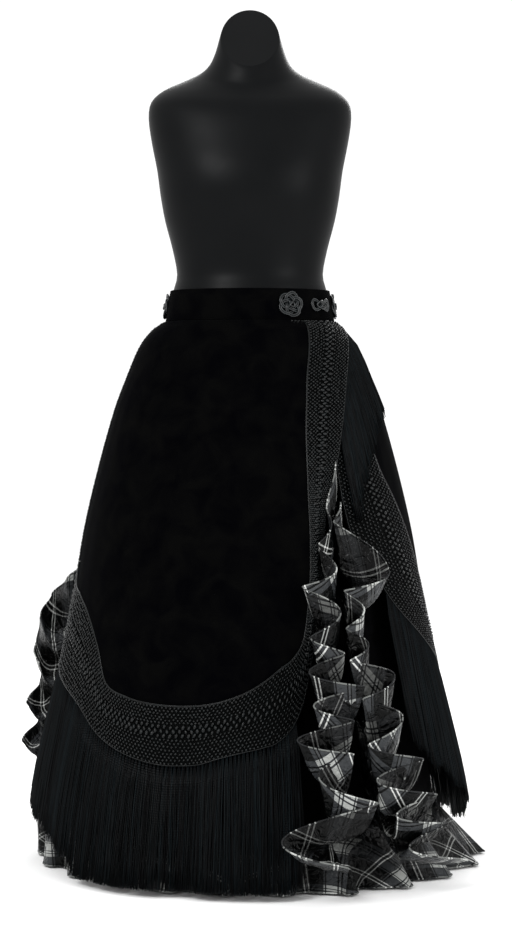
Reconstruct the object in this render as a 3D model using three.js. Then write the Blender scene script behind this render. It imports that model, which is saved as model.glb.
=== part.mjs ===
// A flamenco skirt of black velvet on a limbless dress form.
// A long base skirt carries cascades and flounces of checked taffeta. Over it hang two shawl-shaped
// velvet panels, an apron and a back, each bordered with a knotted band and a long fringe.
// Millimetres, +Z up, the wearer's front towards -Y, origin under the middle of the stand's foot.
import * as THREE from "three";

// ---- Driving dimensions ----------------------------------------------------------------------
const WAIST = 954.7; // top edge of every skirt layer, just under the belt
const BELT_BOTTOM = 955;
const BELT_TOP = 1011;
const BELT_WALL = 6; // velvet, interlining and lining
const VELVET = 1.5;
const NET = 1.5; // the knotted band, over its net ground
const LINING_CLOTH = 1.2; // the base skirt
const TAFFETA = 1.2;
const SEAM = 0.4; // clear space between two pieces that are sewn together
const BASE_HEM = 100; // where the base skirt ends and its hem flounce is sewn on
const FLOUNCE_HEM = 5; // the lowest point of any cloth, above the floor
const BRAID_DEPTH = 7; // of the braid that the fringe hangs from
const STRAND = 3.2; // width of one lock of fringe
const FRINGE_TIPS = 12; // the lowest tips, above the floor

const rad = THREE.MathUtils.degToRad;
const clamp = THREE.MathUtils.clamp;
const mix = THREE.MathUtils.lerp;

// Reads a column of a table at a value of its first column, on a smooth curve through the rows.
function track(rows, key, column, at) {
  const down = rows[0][key] > rows[rows.length - 1][key];
  const list = down ? [...rows].reverse() : rows;
  const x = clamp(at, list[0][key], list[list.length - 1][key]);
  let i = 0;
  while (i < list.length - 2 && x > list[i + 1][key]) i++;
  const slope = (a, b) => (list[b][column] - list[a][column]) / (list[b][key] - list[a][key]);
  const width = list[i + 1][key] - list[i][key];
  const before = i > 0 ? slope(i - 1, i + 1) : slope(i, i + 1);
  const after = i < list.length - 2 ? slope(i, i + 2) : slope(i, i + 1);
  const f = (x - list[i][key]) / width;
  const f2 = f * f;
  const f3 = f2 * f;
  return (
    (2 * f3 - 3 * f2 + 1) * list[i][column] +
    (f3 - 2 * f2 + f) * width * before +
    (3 * f2 - 2 * f3) * list[i + 1][column] +
    (f3 - f2) * width * after
  );
}

// ---- The hang of the skirt -------------------------------------------------------------------
// Angles run round the skirt from the front, positive towards +X, in degrees.
const HANG = [
  { z: 955, halfWidth: 152, halfDepth: 124 },
  { z: 930, halfWidth: 177, halfDepth: 145 },
  { z: 905, halfWidth: 193, halfDepth: 160 },
  { z: 851, halfWidth: 215, halfDepth: 184 },
  { z: 797, halfWidth: 235, halfDepth: 206 },
  { z: 689, halfWidth: 265, halfDepth: 244 },
  { z: 581, halfWidth: 290, halfDepth: 280 },
  { z: 473, halfWidth: 308, halfDepth: 310 },
  { z: 365, halfWidth: 330, halfDepth: 340 },
  { z: 257, halfWidth: 354, halfDepth: 370 },
  { z: 149, halfWidth: 376, halfDepth: 398 },
  { z: 0, halfWidth: 396, halfDepth: 424 },
];

// Soft folds in the hanging cloth: where each runs, how wide it is, how far it stands out at the
// floor and the height where it dies away.
const FOLDS = [
  { angle: -17, spread: 3.6, rise: -17, top: 430 },
  { angle: -31, spread: 10, rise: 7, top: 620 },
  { angle: 3, spread: 9, rise: 6, top: 600 },
  { angle: -66, spread: 9, rise: -8, top: 560 },
  { angle: 62, spread: 8, rise: -9, top: 420 },
  { angle: 78, spread: 8, rise: 7, top: 620 },
  { angle: 103, spread: 7, rise: -13, top: 560 },
  { angle: 118, spread: 9, rise: 14, top: 700 },
  { angle: 136, spread: 7, rise: -15, top: 640 },
  { angle: 152, spread: 9, rise: 17, top: 760 },
  { angle: 170, spread: 7, rise: -14, top: 690 },
  { angle: 187, spread: 9, rise: 18, top: 780 },
  { angle: 205, spread: 7, rise: -13, top: 610 },
  { angle: 221, spread: 8, rise: 15, top: 700 },
  { angle: 237, spread: 7, rise: -10, top: 560 },
];

// The nearest way round from one angle to another.
const turn = (from, to) => ((((to - from) % 360) + 540) % 360) - 180;

function foldAt(angle, z) {
  let sum = 0;
  for (const f of FOLDS) {
    const fade = THREE.MathUtils.smoothstep(f.top - z, 0, f.top);
    sum += f.rise * fade * Math.exp(-((turn(f.angle, angle) / f.spread) ** 2));
  }
  return sum;
}

// A point on the hanging cloth, moved out by some millimetres.
function hang(angle, z, out = 0, folds = 1) {
  const reach = out + folds * foldAt(angle, z);
  const wide = track(HANG, "z", "halfWidth", z) + reach;
  const deep = track(HANG, "z", "halfDepth", z) + reach;
  return new THREE.Vector3(wide * Math.sin(rad(angle)), -deep * Math.cos(rad(angle)), z);
}

// Millimetres of cloth in one degree round the skirt.
function perDegree(angle, z) {
  return hang(angle - 0.5, z, 0, 0).distanceTo(hang(angle + 0.5, z, 0, 0));
}

// The layers lie close together under the belt and part as they leave it.
const PARTING = 12;
const parted = (z) => clamp((WAIST - z) / PARTING, 0, 1);
const apronLift = (z) => mix(1.2, 6.5, parted(z));
const backLift = (z) => mix(-1.1, 0.5, parted(z));
const BASE_SET_IN = [
  { z: 955, gap: 3.4 },
  { z: 930, gap: 8 },
  { z: 905, gap: 12 },
  { z: 797, gap: 16 },
  { z: 581, gap: 27 },
  { z: 365, gap: 42 },
  { z: 149, gap: 54 },
  { z: 0, gap: 58 },
];
// Where the base skirt swings out under the fringe at the wearer's right.
const SWING = { angle: -86, spread: 27, rise: 60, top: 270 };

// The angle whose hang passes through a point.
function hangAngle(p) {
  const [wide, deep] = ["halfWidth", "halfDepth"].map((column) => track(HANG, "z", column, p.z));
  return THREE.MathUtils.radToDeg(Math.atan2(p.x / wide, -p.y / deep));
}

// How far out the base skirt runs, from the hang of the panels.
function baseOut(angle, z) {
  const round = Math.exp(-((turn(SWING.angle, angle) / SWING.spread) ** 2));
  const swing = SWING.rise * round * THREE.MathUtils.smoothstep(SWING.top - z, 0, SWING.top - BASE_HEM);
  return swing - track(BASE_SET_IN, "z", "gap", z);
}
const baseAt = (angle, z, out = 0) => hang(angle, z, baseOut(angle, z) + out, 0);

// ---- Closed walls ----------------------------------------------------------------------------
// Joins two grids of points, rows by columns, into one closed wall.
function wallBetween(face, back, ringed = false) {
  const rows = face.length;
  const columns = face[0].length;
  const positions = [...face.flat(), ...back.flat()].flatMap((p) => [p.x, p.y, p.z]);
  const index = [];
  const quad = (a, b, c, d) => index.push(a, b, c, a, c, d);
  const at = (side, r, c) => side * rows * columns + r * columns + (c % columns);
  const spans = ringed ? columns : columns - 1;
  for (let r = 0; r < rows - 1; r++)
    for (let c = 0; c < spans; c++) {
      quad(at(0, r, c), at(0, r, c + 1), at(0, r + 1, c + 1), at(0, r + 1, c));
      quad(at(1, r, c), at(1, r + 1, c), at(1, r + 1, c + 1), at(1, r, c + 1));
    }
  for (let c = 0; c < spans; c++) {
    quad(at(0, 0, c), at(1, 0, c), at(1, 0, c + 1), at(0, 0, c + 1));
    quad(at(0, rows - 1, c), at(0, rows - 1, c + 1), at(1, rows - 1, c + 1), at(1, rows - 1, c));
  }
  if (!ringed)
    for (let r = 0; r < rows - 1; r++) {
      const last = columns - 1;
      quad(at(0, r, 0), at(0, r + 1, 0), at(1, r + 1, 0), at(1, r, 0));
      quad(at(0, r, last), at(1, r, last), at(1, r + 1, last), at(0, r + 1, last));
    }
  return facingOut(positions, index);
}

// A closed body whose faces are turned to point outwards.
function facingOut(positions, index) {
  let volume = 0;
  const corner = (i) => new THREE.Vector3().fromArray(positions, 3 * i);
  for (let i = 0; i < index.length; i += 3)
    volume += corner(index[i]).dot(corner(index[i + 1]).cross(corner(index[i + 2])));
  if (volume < 0) index.reverse();
  const body = new THREE.BufferGeometry();
  body.setAttribute("position", new THREE.Float32BufferAttribute(positions, 3));
  body.setIndex(index);
  body.computeVertexNormals();
  return body;
}

const grid = (rows, columns, point) =>
  Array.from({ length: rows + 1 }, (_, r) =>
    Array.from({ length: columns + 1 }, (_, c) => point(r / rows, c / columns)),
  );

// Moves a grid of points along its own normals, for cloth that turns every way.
function moved(points, distance) {
  const last = points.length - 1;
  return points.map((row, r) =>
    row.map((p, c) => {
      const end = row.length - 1;
      const along = row[Math.min(c + 1, end)].clone().sub(row[Math.max(c - 1, 0)]);
      const across = points[Math.min(r + 1, last)][c].clone().sub(points[Math.max(r - 1, 0)][c]);
      return p.clone().addScaledVector(along.cross(across).normalize(), distance);
    }),
  );
}

// The same for a grid whose rows close on themselves.
function movedRing(points, distance) {
  const padded = points.map((row) => [row[row.length - 1], ...row, row[0]]);
  return moved(padded, distance).map((row) => row.slice(1, -1));
}

// ---- Panels and their knotted borders --------------------------------------------------------
// A panel's corners are the rows where its sides meet its hem, its columns the steps between them.
// One row for each station of a panel's edge, from the waist at the wearer's left, down, along the
// hem and up to the waist again: the velvet's edge, the border's outer edge, and how far the border
// is tucked in towards the base skirt there.
const APRON_EDGE = [
  { inAngle: 37, inZ: WAIST, outAngle: 82, outZ: WAIST, tuck: 0 },
  { inAngle: 33, inZ: 928, outAngle: 69, outZ: 930, tuck: 0 },
  { inAngle: 30, inZ: 900, outAngle: 59.5, outZ: 903, tuck: 0 },
  { inAngle: 26.5, inZ: 860, outAngle: 51.5, outZ: 864, tuck: 0 },
  { inAngle: 24, inZ: 815, outAngle: 45, outZ: 820, tuck: 0 },
  { inAngle: 22, inZ: 760, outAngle: 39, outZ: 764, tuck: 0 },
  { inAngle: 21, inZ: 700, outAngle: 33.5, outZ: 702, tuck: 0 },
  { inAngle: 20.3, inZ: 640, outAngle: 28.5, outZ: 642, tuck: 5 },
  { inAngle: 19.8, inZ: 575, outAngle: 26, outZ: 577, tuck: 12 },
  { inAngle: 18.6, inZ: 500, outAngle: 24, outZ: 496, tuck: 15 },
  { inAngle: 16, inZ: 421, outAngle: 17, outZ: 345, tuck: 12 },
  { inAngle: 12.5, inZ: 388, outAngle: 12.3, outZ: 283, tuck: 3 },
  { inAngle: 8.5, inZ: 371, outAngle: 7.5, outZ: 253, tuck: 0 },
  { inAngle: 4, inZ: 351, outAngle: 3, outZ: 243, tuck: 0 },
  { inAngle: -1.5, inZ: 332, outAngle: -2, outZ: 236, tuck: 0 },
  { inAngle: -8, inZ: 318, outAngle: -8, outZ: 226, tuck: 0 },
  { inAngle: -14, inZ: 311, outAngle: -14, outZ: 214, tuck: 0 },
  { inAngle: -20, inZ: 309, outAngle: -20, outZ: 211, tuck: 0 },
  { inAngle: -28, inZ: 311, outAngle: -27, outZ: 215, tuck: 0 },
  { inAngle: -36, inZ: 318, outAngle: -36, outZ: 228, tuck: 0 },
  { inAngle: -45, inZ: 336, outAngle: -45, outZ: 249, tuck: 0 },
  { inAngle: -52, inZ: 396, outAngle: -57, outZ: 291, tuck: 0 },
  { inAngle: -61, inZ: 446, outAngle: -71, outZ: 316, tuck: 0 },
  { inAngle: -71, inZ: 475, outAngle: -84, outZ: 342, tuck: 0 },
  { inAngle: -80, inZ: 492, outAngle: -93, outZ: 392, tuck: 0 },
  { inAngle: -86, inZ: 550, outAngle: -100, outZ: 485, tuck: 0 },
  { inAngle: -87, inZ: 640, outAngle: -104, outZ: 610, tuck: 0 },
  { inAngle: -87.5, inZ: 740, outAngle: -106, outZ: 728, tuck: 0 },
  { inAngle: -88, inZ: 830, outAngle: -109, outZ: 826, tuck: 0 },
  { inAngle: -90, inZ: 900, outAngle: -114, outZ: 900, tuck: 0 },
  { inAngle: -93, inZ: WAIST, outAngle: -124, outZ: WAIST, tuck: 0 },
];
const APRON_MITRE = 20; // the row where two lengths of border meet in front
const APRON = { edge: APRON_EDGE, corners: [10, 25], columns: 24, lift: apronLift };

const BACK_EDGE = [
  { inAngle: 50, inZ: WAIST, outAngle: 26, outZ: WAIST, tuck: 0 },
  { inAngle: 51, inZ: 928, outAngle: 27.5, outZ: 928, tuck: 0 },
  { inAngle: 52, inZ: 895, outAngle: 29, outZ: 895, tuck: 0 },
  { inAngle: 53, inZ: 850, outAngle: 30.5, outZ: 850, tuck: 0 },
  { inAngle: 54, inZ: 800, outAngle: 32, outZ: 798, tuck: 0 },
  { inAngle: 56, inZ: 745, outAngle: 33.5, outZ: 742, tuck: 0 },
  { inAngle: 59, inZ: 692, outAngle: 34, outZ: 686, tuck: 0 },
  { inAngle: 65, inZ: 645, outAngle: 34.5, outZ: 634, tuck: 0 },
  { inAngle: 71, inZ: 592, outAngle: 36.5, outZ: 582, tuck: 0 },
  { inAngle: 77, inZ: 536, outAngle: 43, outZ: 528, tuck: 0 },
  { inAngle: 85, inZ: 474, outAngle: 53, outZ: 462, tuck: 0 },
  { inAngle: 94, inZ: 424, outAngle: 67, outZ: 405, tuck: 0 },
  { inAngle: 105, inZ: 380, outAngle: 84, outZ: 343, tuck: 0 },
  { inAngle: 118, inZ: 348, outAngle: 103, outZ: 282, tuck: 0 },
  { inAngle: 132, inZ: 328, outAngle: 122, outZ: 240, tuck: 0 },
  { inAngle: 148, inZ: 317, outAngle: 142, outZ: 218, tuck: 0 },
  { inAngle: 164, inZ: 312, outAngle: 162, outZ: 211, tuck: 0 },
  { inAngle: 180, inZ: 312, outAngle: 180, outZ: 210, tuck: 0 },
  { inAngle: 195, inZ: 318, outAngle: 196, outZ: 217, tuck: 0 },
  { inAngle: 207, inZ: 335, outAngle: 211, outZ: 236, tuck: 0 },
  { inAngle: 217, inZ: 374, outAngle: 226, outZ: 276, tuck: 0 },
  { inAngle: 223, inZ: 432, outAngle: 238, outZ: 344, tuck: 0 },
  { inAngle: 225, inZ: 510, outAngle: 245, outZ: 440, tuck: 0 },
  { inAngle: 225, inZ: 600, outAngle: 247, outZ: 560, tuck: 0 },
  { inAngle: 224, inZ: 700, outAngle: 247, outZ: 684, tuck: 0 },
  { inAngle: 222, inZ: 800, outAngle: 247, outZ: 794, tuck: 0 },
  { inAngle: 218, inZ: 880, outAngle: 248, outZ: 880, tuck: 0 },
  { inAngle: 212, inZ: WAIST, outAngle: 249, outZ: WAIST, tuck: 0 },
];
const BACK = { edge: BACK_EDGE, corners: [11, 22], columns: 20, lift: backLift };

// A station anywhere along an edge, on smooth curves through its rows.
function stationAt(edge, at) {
  const rows = edge.map((row, i) => ({ ...row, i }));
  const read = (column) => track(rows, "i", column, at);
  return {
    inner: { angle: read("inAngle"), z: read("inZ") },
    outer: { angle: read("outAngle"), z: read("outZ") },
    tuck: read("tuck"),
  };
}

// The velvet inside an edge: a patch stretched between the waist, the two sides and the hem.
const PANEL_ROWS = [0, 0.02, 0.045, 0.08, 0.13, 0.2, 0.3, 0.42, 0.56, 0.7, 0.85, 1];
function panelPoint(edge, [right, left], across, down) {
  const top = edge.length - 1;
  const sideA = stationAt(edge, right * down).inner;
  const sideB = stationAt(edge, top - (top - left) * down).inner;
  const hem = stationAt(edge, mix(right, left, across)).inner;
  const [cornerA, cornerB] = [stationAt(edge, right).inner, stationAt(edge, left).inner];
  const [waistA, waistB] = [edge[0].inAngle, edge[top].inAngle];
  const patch = (key, waist0, waist1) =>
    mix(mix(waist0, waist1, across), hem[key], down) +
    mix(sideA[key], sideB[key], across) -
    mix(mix(waist0, waist1, across), mix(cornerA[key], cornerB[key], across), down);
  return { angle: patch("angle", waistA, waistB), z: patch("z", WAIST, WAIST) };
}

function panel({ edge, corners, lift, columns }) {
  const at = (out) =>
    PANEL_ROWS.map((down) =>
      Array.from({ length: columns + 1 }, (_, c) => {
        const p = panelPoint(edge, corners, c / columns, down);
        return hang(p.angle, p.z, lift(p.z) + out);
      }),
    );
  return wallBetween(at(0), at(-VELVET));
}

// The stations of a length of border, at the same places as the velvet's own points.
function stations({ edge, corners: [right, left], columns }, from, to) {
  const top = edge.length - 1;
  const sideA = PANEL_ROWS.map((down) => right * down);
  const hem = Array.from({ length: columns + 1 }, (_, c) => mix(right, left, c / columns));
  const sideB = PANEL_ROWS.map((down) => top - (top - left) * down).reverse();
  const all = [...new Set([...sideA, ...hem, ...sideB])].sort((a, b) => a - b);
  return all.filter((s) => s >= from - 1e-6 && s <= to + 1e-6);
}

// A point of the border: 0 at the velvet, 1 at its outer edge, and on into the fringe.
function borderPoint(edge, lift, station, across, out) {
  const s = stationAt(edge, station);
  const angle = mix(s.inner.angle, s.outer.angle, across);
  const z = Math.min(mix(s.inner.z, s.outer.z, across), WAIST);
  const tucked = s.tuck * THREE.MathUtils.smoothstep(across, 0.25, 1);
  return hang(angle, z, lift(z) + out - tucked);
}

function borderWidth(edge, station) {
  const s = stationAt(edge, station);
  const z = (s.inner.z + s.outer.z) / 2;
  const middle = (s.inner.angle + s.outer.angle) / 2;
  const round = turn(s.inner.angle, s.outer.angle) * perDegree(middle, z);
  return Math.hypot(round, s.inner.z - s.outer.z);
}

const JOIN = 0.008; // half the clear space where two lengths of border meet, in rows of the edge
const openEnds = (places) =>
  places.map((s, i) => s + (i === 0 ? JOIN : 0) - (i === places.length - 1 ? JOIN : 0));

function border({ from, to, cells, ...panelOf }) {
  const { edge, lift } = panelOf;
  const places = openEnds(stations(panelOf, from, to));
  const at = (out) =>
    Array.from({ length: cells + 1 }, (_, r) =>
      places.map((s) => {
        const seam = SEAM / borderWidth(edge, s);
        return borderPoint(edge, lift, s, mix(seam, 1 - seam, r / cells), out);
      }),
    );
  return wallBetween(at(0), at(-NET));
}

// ---- Fringe ----------------------------------------------------------------------------------
// A body gathered up point by point, a closed one once every stretch below has been added.
class Body {
  positions = [];
  index = [];
  point(p) {
    return this.positions.push(p.x, p.y, p.z) / 3 - 1;
  }
  at(spot) {
    return new THREE.Vector3().fromArray(this.positions, 3 * spot.i);
  }
  // Fills between two lines of stations that run the same way, upper and lower.
  fill(upper, lower) {
    let [j, k] = [0, 0];
    while (j < upper.length - 1 || k < lower.length - 1) {
      const upperDone = j === upper.length - 1;
      const lowerLeft = k < lower.length - 1;
      if (upperDone || (lowerLeft && lower[k + 1].s <= upper[j + 1].s))
        this.index.push(upper[j].i, lower[k].i, lower[++k].i);
      else this.index.push(upper[j].i, lower[k].i, upper[++j].i);
    }
  }
  // A three-sided lock from its root down to its tip.
  lock(root, rings) {
    let ring = root;
    for (const points of rings) {
      const next = points.map((p) => this.point(p));
      for (let k = 0; k < 3; k++) {
        const [a, b] = [k, (k + 1) % 3];
        this.index.push(ring[a], ring[b], next[b], ring[a], next[b], next[a]);
      }
      ring = next;
    }
    this.index.push(...ring);
  }
  fourSided(a, b, c, d) {
    this.index.push(a, b, c, a, c, d);
  }
}

const TIP_WIDTH = 0.6; // a lock's tip, as a share of its width
const LOCK_DEPTH = 2.2;
function lockSection(middle, width, side) {
  const out = new THREE.Vector3(middle.x, middle.y, 0).normalize();
  const at = (across, deep) =>
    middle.clone().addScaledVector(side, across * width).addScaledVector(out, deep * width);
  return [at(0.5, 0), at(-0.5, 0), at(0, -LOCK_DEPTH / STRAND)];
}

// A braid along the border's outer edge with its locks, which grow out of its lower side.
const BRAID_FACE = 0.6; // the braid stands out a little from the border
const BRAID = 3; // its thickness
const BRAID_SINK = 0.3; // a lock's root lies this far in front of the braid's back
const TIP_SWELL = 5; // how far the tips swing out
const LOCK_BUNCHING = 1.5; // how much closer a lock's joints lie at its root
const NEARBY = 0.02; // two places this many rows apart give the run of the edge
function fringe({ from, to, count, length, pieces, ...panelOf }) {
  const { edge, lift } = panelOf;
  const between = stations(panelOf, from, to).filter((s) => s > from && s < to);
  const places = openEnds([from, ...between, to]);
  const body = new Body();
  const spot = (s, down, out) => {
    const across = 1 + down / borderWidth(edge, s);
    return { s, i: body.point(borderPoint(edge, lift, s, across, out)) };
  };
  const line = (list, down, out) => list.map((s) => spot(s, down, out));
  const [face, back] = [BRAID_FACE, BRAID_FACE - BRAID];
  const topFace = line(places, SEAM, face);
  const topBack = line(places, SEAM, back);
  const [first, last] = [places[0], places[places.length - 1]];
  const lowFace = [spot(first, BRAID_DEPTH, face)];
  const lowBack = [spot(first, BRAID_DEPTH, back)];
  for (let i = 0; i < count; i++) {
    const s = mix(from, to, (i + 0.5) / count);
    const [before, after] = [s - NEARBY, s + NEARBY].map((n) => borderPoint(edge, lift, n, 1, 0));
    const half = (STRAND * NEARBY) / before.distanceTo(after);
    const [left, right] = line([s - half, s + half], BRAID_DEPTH, face);
    const middle = spot(s, BRAID_DEPTH, back + BRAID_SINK);
    const root = body.at(middle);
    const side = body.at(right).sub(body.at(left)).setZ(0).normalize();
    const uneven = 1 + 0.02 * Math.sin(i * 2.4) + 0.012 * Math.sin(i * 5.1);
    const tip = Math.max(root.z - length * uneven, FRINGE_TIPS);
    const off = lift(root.z) - stationAt(edge, s).tuck + BRAID_FACE;
    const rings = Array.from({ length: pieces }, (_, k) => {
      const down = ((k + 1) / pieces) ** LOCK_BUNCHING;
      const place = hang(hangAngle(root), mix(root.z, tip, down), off + TIP_SWELL * down);
      return lockSection(place, STRAND * (k === pieces - 1 ? TIP_WIDTH : 1), side);
    });
    body.fill([lowFace[lowFace.length - 1], left], [lowBack[lowBack.length - 1], middle]);
    body.lock([right.i, left.i, middle.i], rings);
    lowFace.push(left, right);
    lowBack.push(middle);
  }
  lowFace.push(spot(last, BRAID_DEPTH, face));
  lowBack.push(spot(last, BRAID_DEPTH, back));
  body.fill(lowFace.slice(-2), lowBack.slice(-2));
  body.fill(topFace, lowFace);
  body.fill(topBack, topFace);
  body.fill(lowBack, topBack);
  const [a, b, c, d] = [lowFace, topFace, topBack, lowBack];
  body.fourSided(a[0].i, b[0].i, c[0].i, d[0].i);
  body.fourSided(b.at(-1).i, a.at(-1).i, d.at(-1).i, c.at(-1).i);
  return facingOut(body.positions, body.index);
}

// ---- Ruffles ---------------------------------------------------------------------------------
// A ruffle's cloth stands out from its seam, falls a little and turns up to a free edge that winds
// from side to side, so that it opens in deep mouths.
const SEAM_SEAT = 0.2; // from the base skirt to the sewn edge of a ruffle
const STANDING = 0.95; // how soon the cloth stands out from its seam,
const SWAY = 0.95; // swings to the side
const RISE = 1.4; // and turns up
const BELLY = 1.2; // where between seam and rim it falls the farthest
const CROWD = 0.75; // how the gathers spread down the seam
const CUP = 3; // how far a front rim stands before its mouth's middle
const FULL_BOW = 10; // the bow of a rim that stands out that far
const CASCADE_STEPS = 4;
const CASCADE_LEVELS = [0, 0.28, 0.58, 0.84, 1];
const swingAcross = (f) => (1 - Math.cos(Math.PI * f)) / 2;

// A cascade: a gathered strip sewn down the base skirt, from the seam's top to its bottom. Each row
// of turns is one bend of its free edge: its height, how far it swings to the side, how far it
// stands out from the hang of the skirt, and how the edge bows on its way to the next bend: forward
// as a mouth's front rim or, negative, back.
function cascadePoint({ turns, seam }, along, t) {
  const at = along * (turns.length - 1);
  const i = Math.min(Math.floor(at), turns.length - 2);
  const f = at - i;
  const [a, b] = [turns[i], turns[i + 1]];
  const edgeZ = mix(a.z, b.z, f);
  const seamZ = mix(seam[0].z, seam[seam.length - 1].z, along ** CROWD);
  const side = mix(a.side, b.side, swingAcross(f));
  const forward = ((CUP * a.bow) / FULL_BOW) * Math.sin(Math.PI * f) ** 2;
  const reach = mix(a.out, b.out, swingAcross(f)) + forward;
  const fall = track(seam, "z", "fall", seamZ) * Math.sin(Math.PI * t ** BELLY);
  const z = mix(seamZ, edgeZ, t ** RISE) - fall;
  const angle = track(seam, "z", "angle", seamZ);
  const out = mix(baseOut(angle, z) + SEAM_SEAT, reach, t ** STANDING);
  return hang(angle + (side * t ** SWAY) / perDegree(angle, z), z, out, 0);
}

function cascade(shape) {
  const columns = (shape.turns.length - 1) * CASCADE_STEPS;
  const middle = CASCADE_LEVELS.map((t) =>
    Array.from({ length: columns + 1 }, (_, c) => cascadePoint(shape, c / columns, t)),
  );
  return wallBetween(moved(middle, TAFFETA / 2), moved(middle, -TAFFETA / 2));
}

const OUTER_CASCADE = {
  seam: [
    { z: 668, angle: 33.8, fall: 10 },
    { z: 600, angle: 31.6, fall: 10 },
    { z: 540, angle: 29.6, fall: 10 },
    { z: 480, angle: 27.2, fall: 12 },
    { z: 400, angle: 24.8, fall: 16 },
    { z: 250, angle: 23, fall: 18 },
    { z: 150, angle: 22.4, fall: 24 },
    { z: 104, angle: 22, fall: 18 },
  ],
  turns: [
    { z: 709, side: -4, out: 10, bow: 3 },
    { z: 637, side: -24, out: 12, bow: -6 },
    { z: 606, side: -16, out: 19, bow: 6 },
    { z: 572, side: -40, out: 28, bow: -8 },
    { z: 532, side: -11, out: 41, bow: 12 },
    { z: 506, side: -63, out: 50, bow: -12 },
    { z: 463, side: -5, out: 55, bow: 9 },
    { z: 425, side: -52, out: 60, bow: 5 },
    { z: 397, side: -3, out: 66, bow: -10 },
    { z: 371, side: -57, out: 72, bow: 15 },
    { z: 345, side: 20, out: 81, bow: -10 },
    { z: 319, side: -54, out: 81, bow: 10 },
    { z: 293, side: 1, out: 85, bow: -7 },
    { z: 267, side: -79, out: 86, bow: 14 },
    { z: 241, side: -2, out: 84, bow: -12 },
    { z: 211, side: -54, out: 87, bow: 16 },
    { z: 163, side: 26, out: 92, bow: -13 },
    { z: 110, side: -108, out: 92, bow: 12 },
    { z: 62, side: -14, out: 80, bow: 8 },
  ],
};

const INNER_CASCADE = {
  seam: [
    { z: 590, angle: 34, fall: 8 },
    { z: 540, angle: 34, fall: 12 },
    { z: 440, angle: 34.5, fall: 16 },
    { z: 300, angle: 35.5, fall: 28 },
    { z: 180, angle: 36.5, fall: 30 },
    { z: 104, angle: 37, fall: 18 },
  ],
  turns: [
    { z: 640, side: -3, out: 4, bow: 3 },
    { z: 609, side: -33, out: 25, bow: -17 },
    { z: 524, side: 37, out: 56, bow: 15 },
    { z: 498, side: -45, out: 56, bow: -8 },
    { z: 468, side: -19, out: 60, bow: 8 },
    { z: 437, side: -53, out: 60, bow: -9 },
    { z: 411, side: -22, out: 61, bow: 9 },
    { z: 385, side: -58, out: 64, bow: -13 },
    { z: 359, side: 7, out: 72, bow: 13 },
    { z: 324, side: -52, out: 70, bow: -10 },
    { z: 293, side: 5, out: 78, bow: 11 },
    { z: 252, side: -58, out: 75, bow: 10 },
    { z: 222, side: 24, out: 86, bow: -11 },
    { z: 196, side: -57, out: 80, bow: 12 },
    { z: 164, side: 36, out: 89, bow: -11 },
    { z: 138, side: -36, out: 82, bow: 13 },
    { z: 116, side: 48, out: 91, bow: -9 },
    { z: 86, side: -22, out: 83, bow: 9 },
    { z: 48, side: 86, out: 88, bow: 5 },
  ],
};

const FAR_CASCADE = {
  seam: [
    { z: 500, angle: -108, fall: 14 },
    { z: 420, angle: -107, fall: 24 },
    { z: 258, angle: -105, fall: 36 },
  ],
  turns: [
    { z: 536, side: 0, out: -8, bow: 4 },
    { z: 485, side: 24, out: 41, bow: -6 },
    { z: 452, side: -14, out: 80, bow: 7 },
    { z: 417, side: 20, out: 78, bow: -6 },
    { z: 366, side: -22, out: 96, bow: 9 },
    { z: 330, side: 20, out: 62, bow: -8 },
    { z: 286, side: -20, out: 68, bow: 8 },
    { z: 257, side: 22, out: 68, bow: -8 },
    { z: 216, side: -20, out: 54, bow: 8 },
    { z: 187, side: 20, out: 62, bow: -7 },
    { z: 139, side: -18, out: 38, bow: 6 },
  ],
};

// The hem flounce: a gathered strip sewn to the base skirt's lower edge, its free edge waving in
// and out. Each row says how far out the waves run there, from the hang of the skirt, and how far
// they swing. It keeps inside the fringe in front and behind, and runs free in the two openings.
const WAVES = 23;
const WAVE_STEPS = 3;
const WAVE_ROWS = 2;
const WAVE_CURL = 0.9;
const WAVE_STANDING = 0.9; // how soon the flounce stands out from its seam
const WAVE_SWELL = 1.2; // and its waves grow
const FLOUNCE_REACH = [
  { angle: -180, out: -34, swing: 14 },
  { angle: -130, out: -34, swing: 14 },
  { angle: -105, out: -26, swing: 17 },
  { angle: -70, out: -26, swing: 16 },
  { angle: -48, out: -32, swing: 14 },
  { angle: 8, out: -34, swing: 13 },
  { angle: 24, out: -16, swing: 17 },
  { angle: 60, out: 0, swing: 20 },
  { angle: 84, out: 2, swing: 20 },
  { angle: 104, out: -28, swing: 16 },
  { angle: 180, out: -34, swing: 14 },
];

function flouncePoint(along, t) {
  const angle = mix(-180, 180, along);
  const at = along * WAVES * 2;
  const f = at - Math.floor(at);
  const side = Math.floor(at) % 2 ? -1 : 1;
  const wave = side * Math.cos(Math.PI * f);
  const uneven = 1 + 0.22 * Math.sin(rad(angle * 18)) + 0.14 * Math.sin(rad(angle * 47));
  const swing = track(FLOUNCE_REACH, "angle", "swing", angle) * uneven;
  const span = 180 / WAVES;
  const back = (side * WAVE_CURL * span * Math.sin(2 * Math.PI * f)) / (2 * Math.PI);
  const z = mix(BASE_HEM - SEAM, FLOUNCE_HEM, t);
  const root = baseOut(angle, BASE_HEM) - LINING_CLOTH / 2;
  const out = mix(root, track(FLOUNCE_REACH, "angle", "out", angle), t ** WAVE_STANDING);
  return hang(angle + back * t, z, out + swing * wave * t ** WAVE_SWELL, 0);
}

function flounce() {
  const middle = grid(WAVE_ROWS, WAVES * 2 * WAVE_STEPS, (t, along) => flouncePoint(along, t));
  const ring = middle.map((row) => row.slice(0, -1));
  return wallBetween(movedRing(ring, TAFFETA / 2), movedRing(ring, -TAFFETA / 2), true);
}

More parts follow.
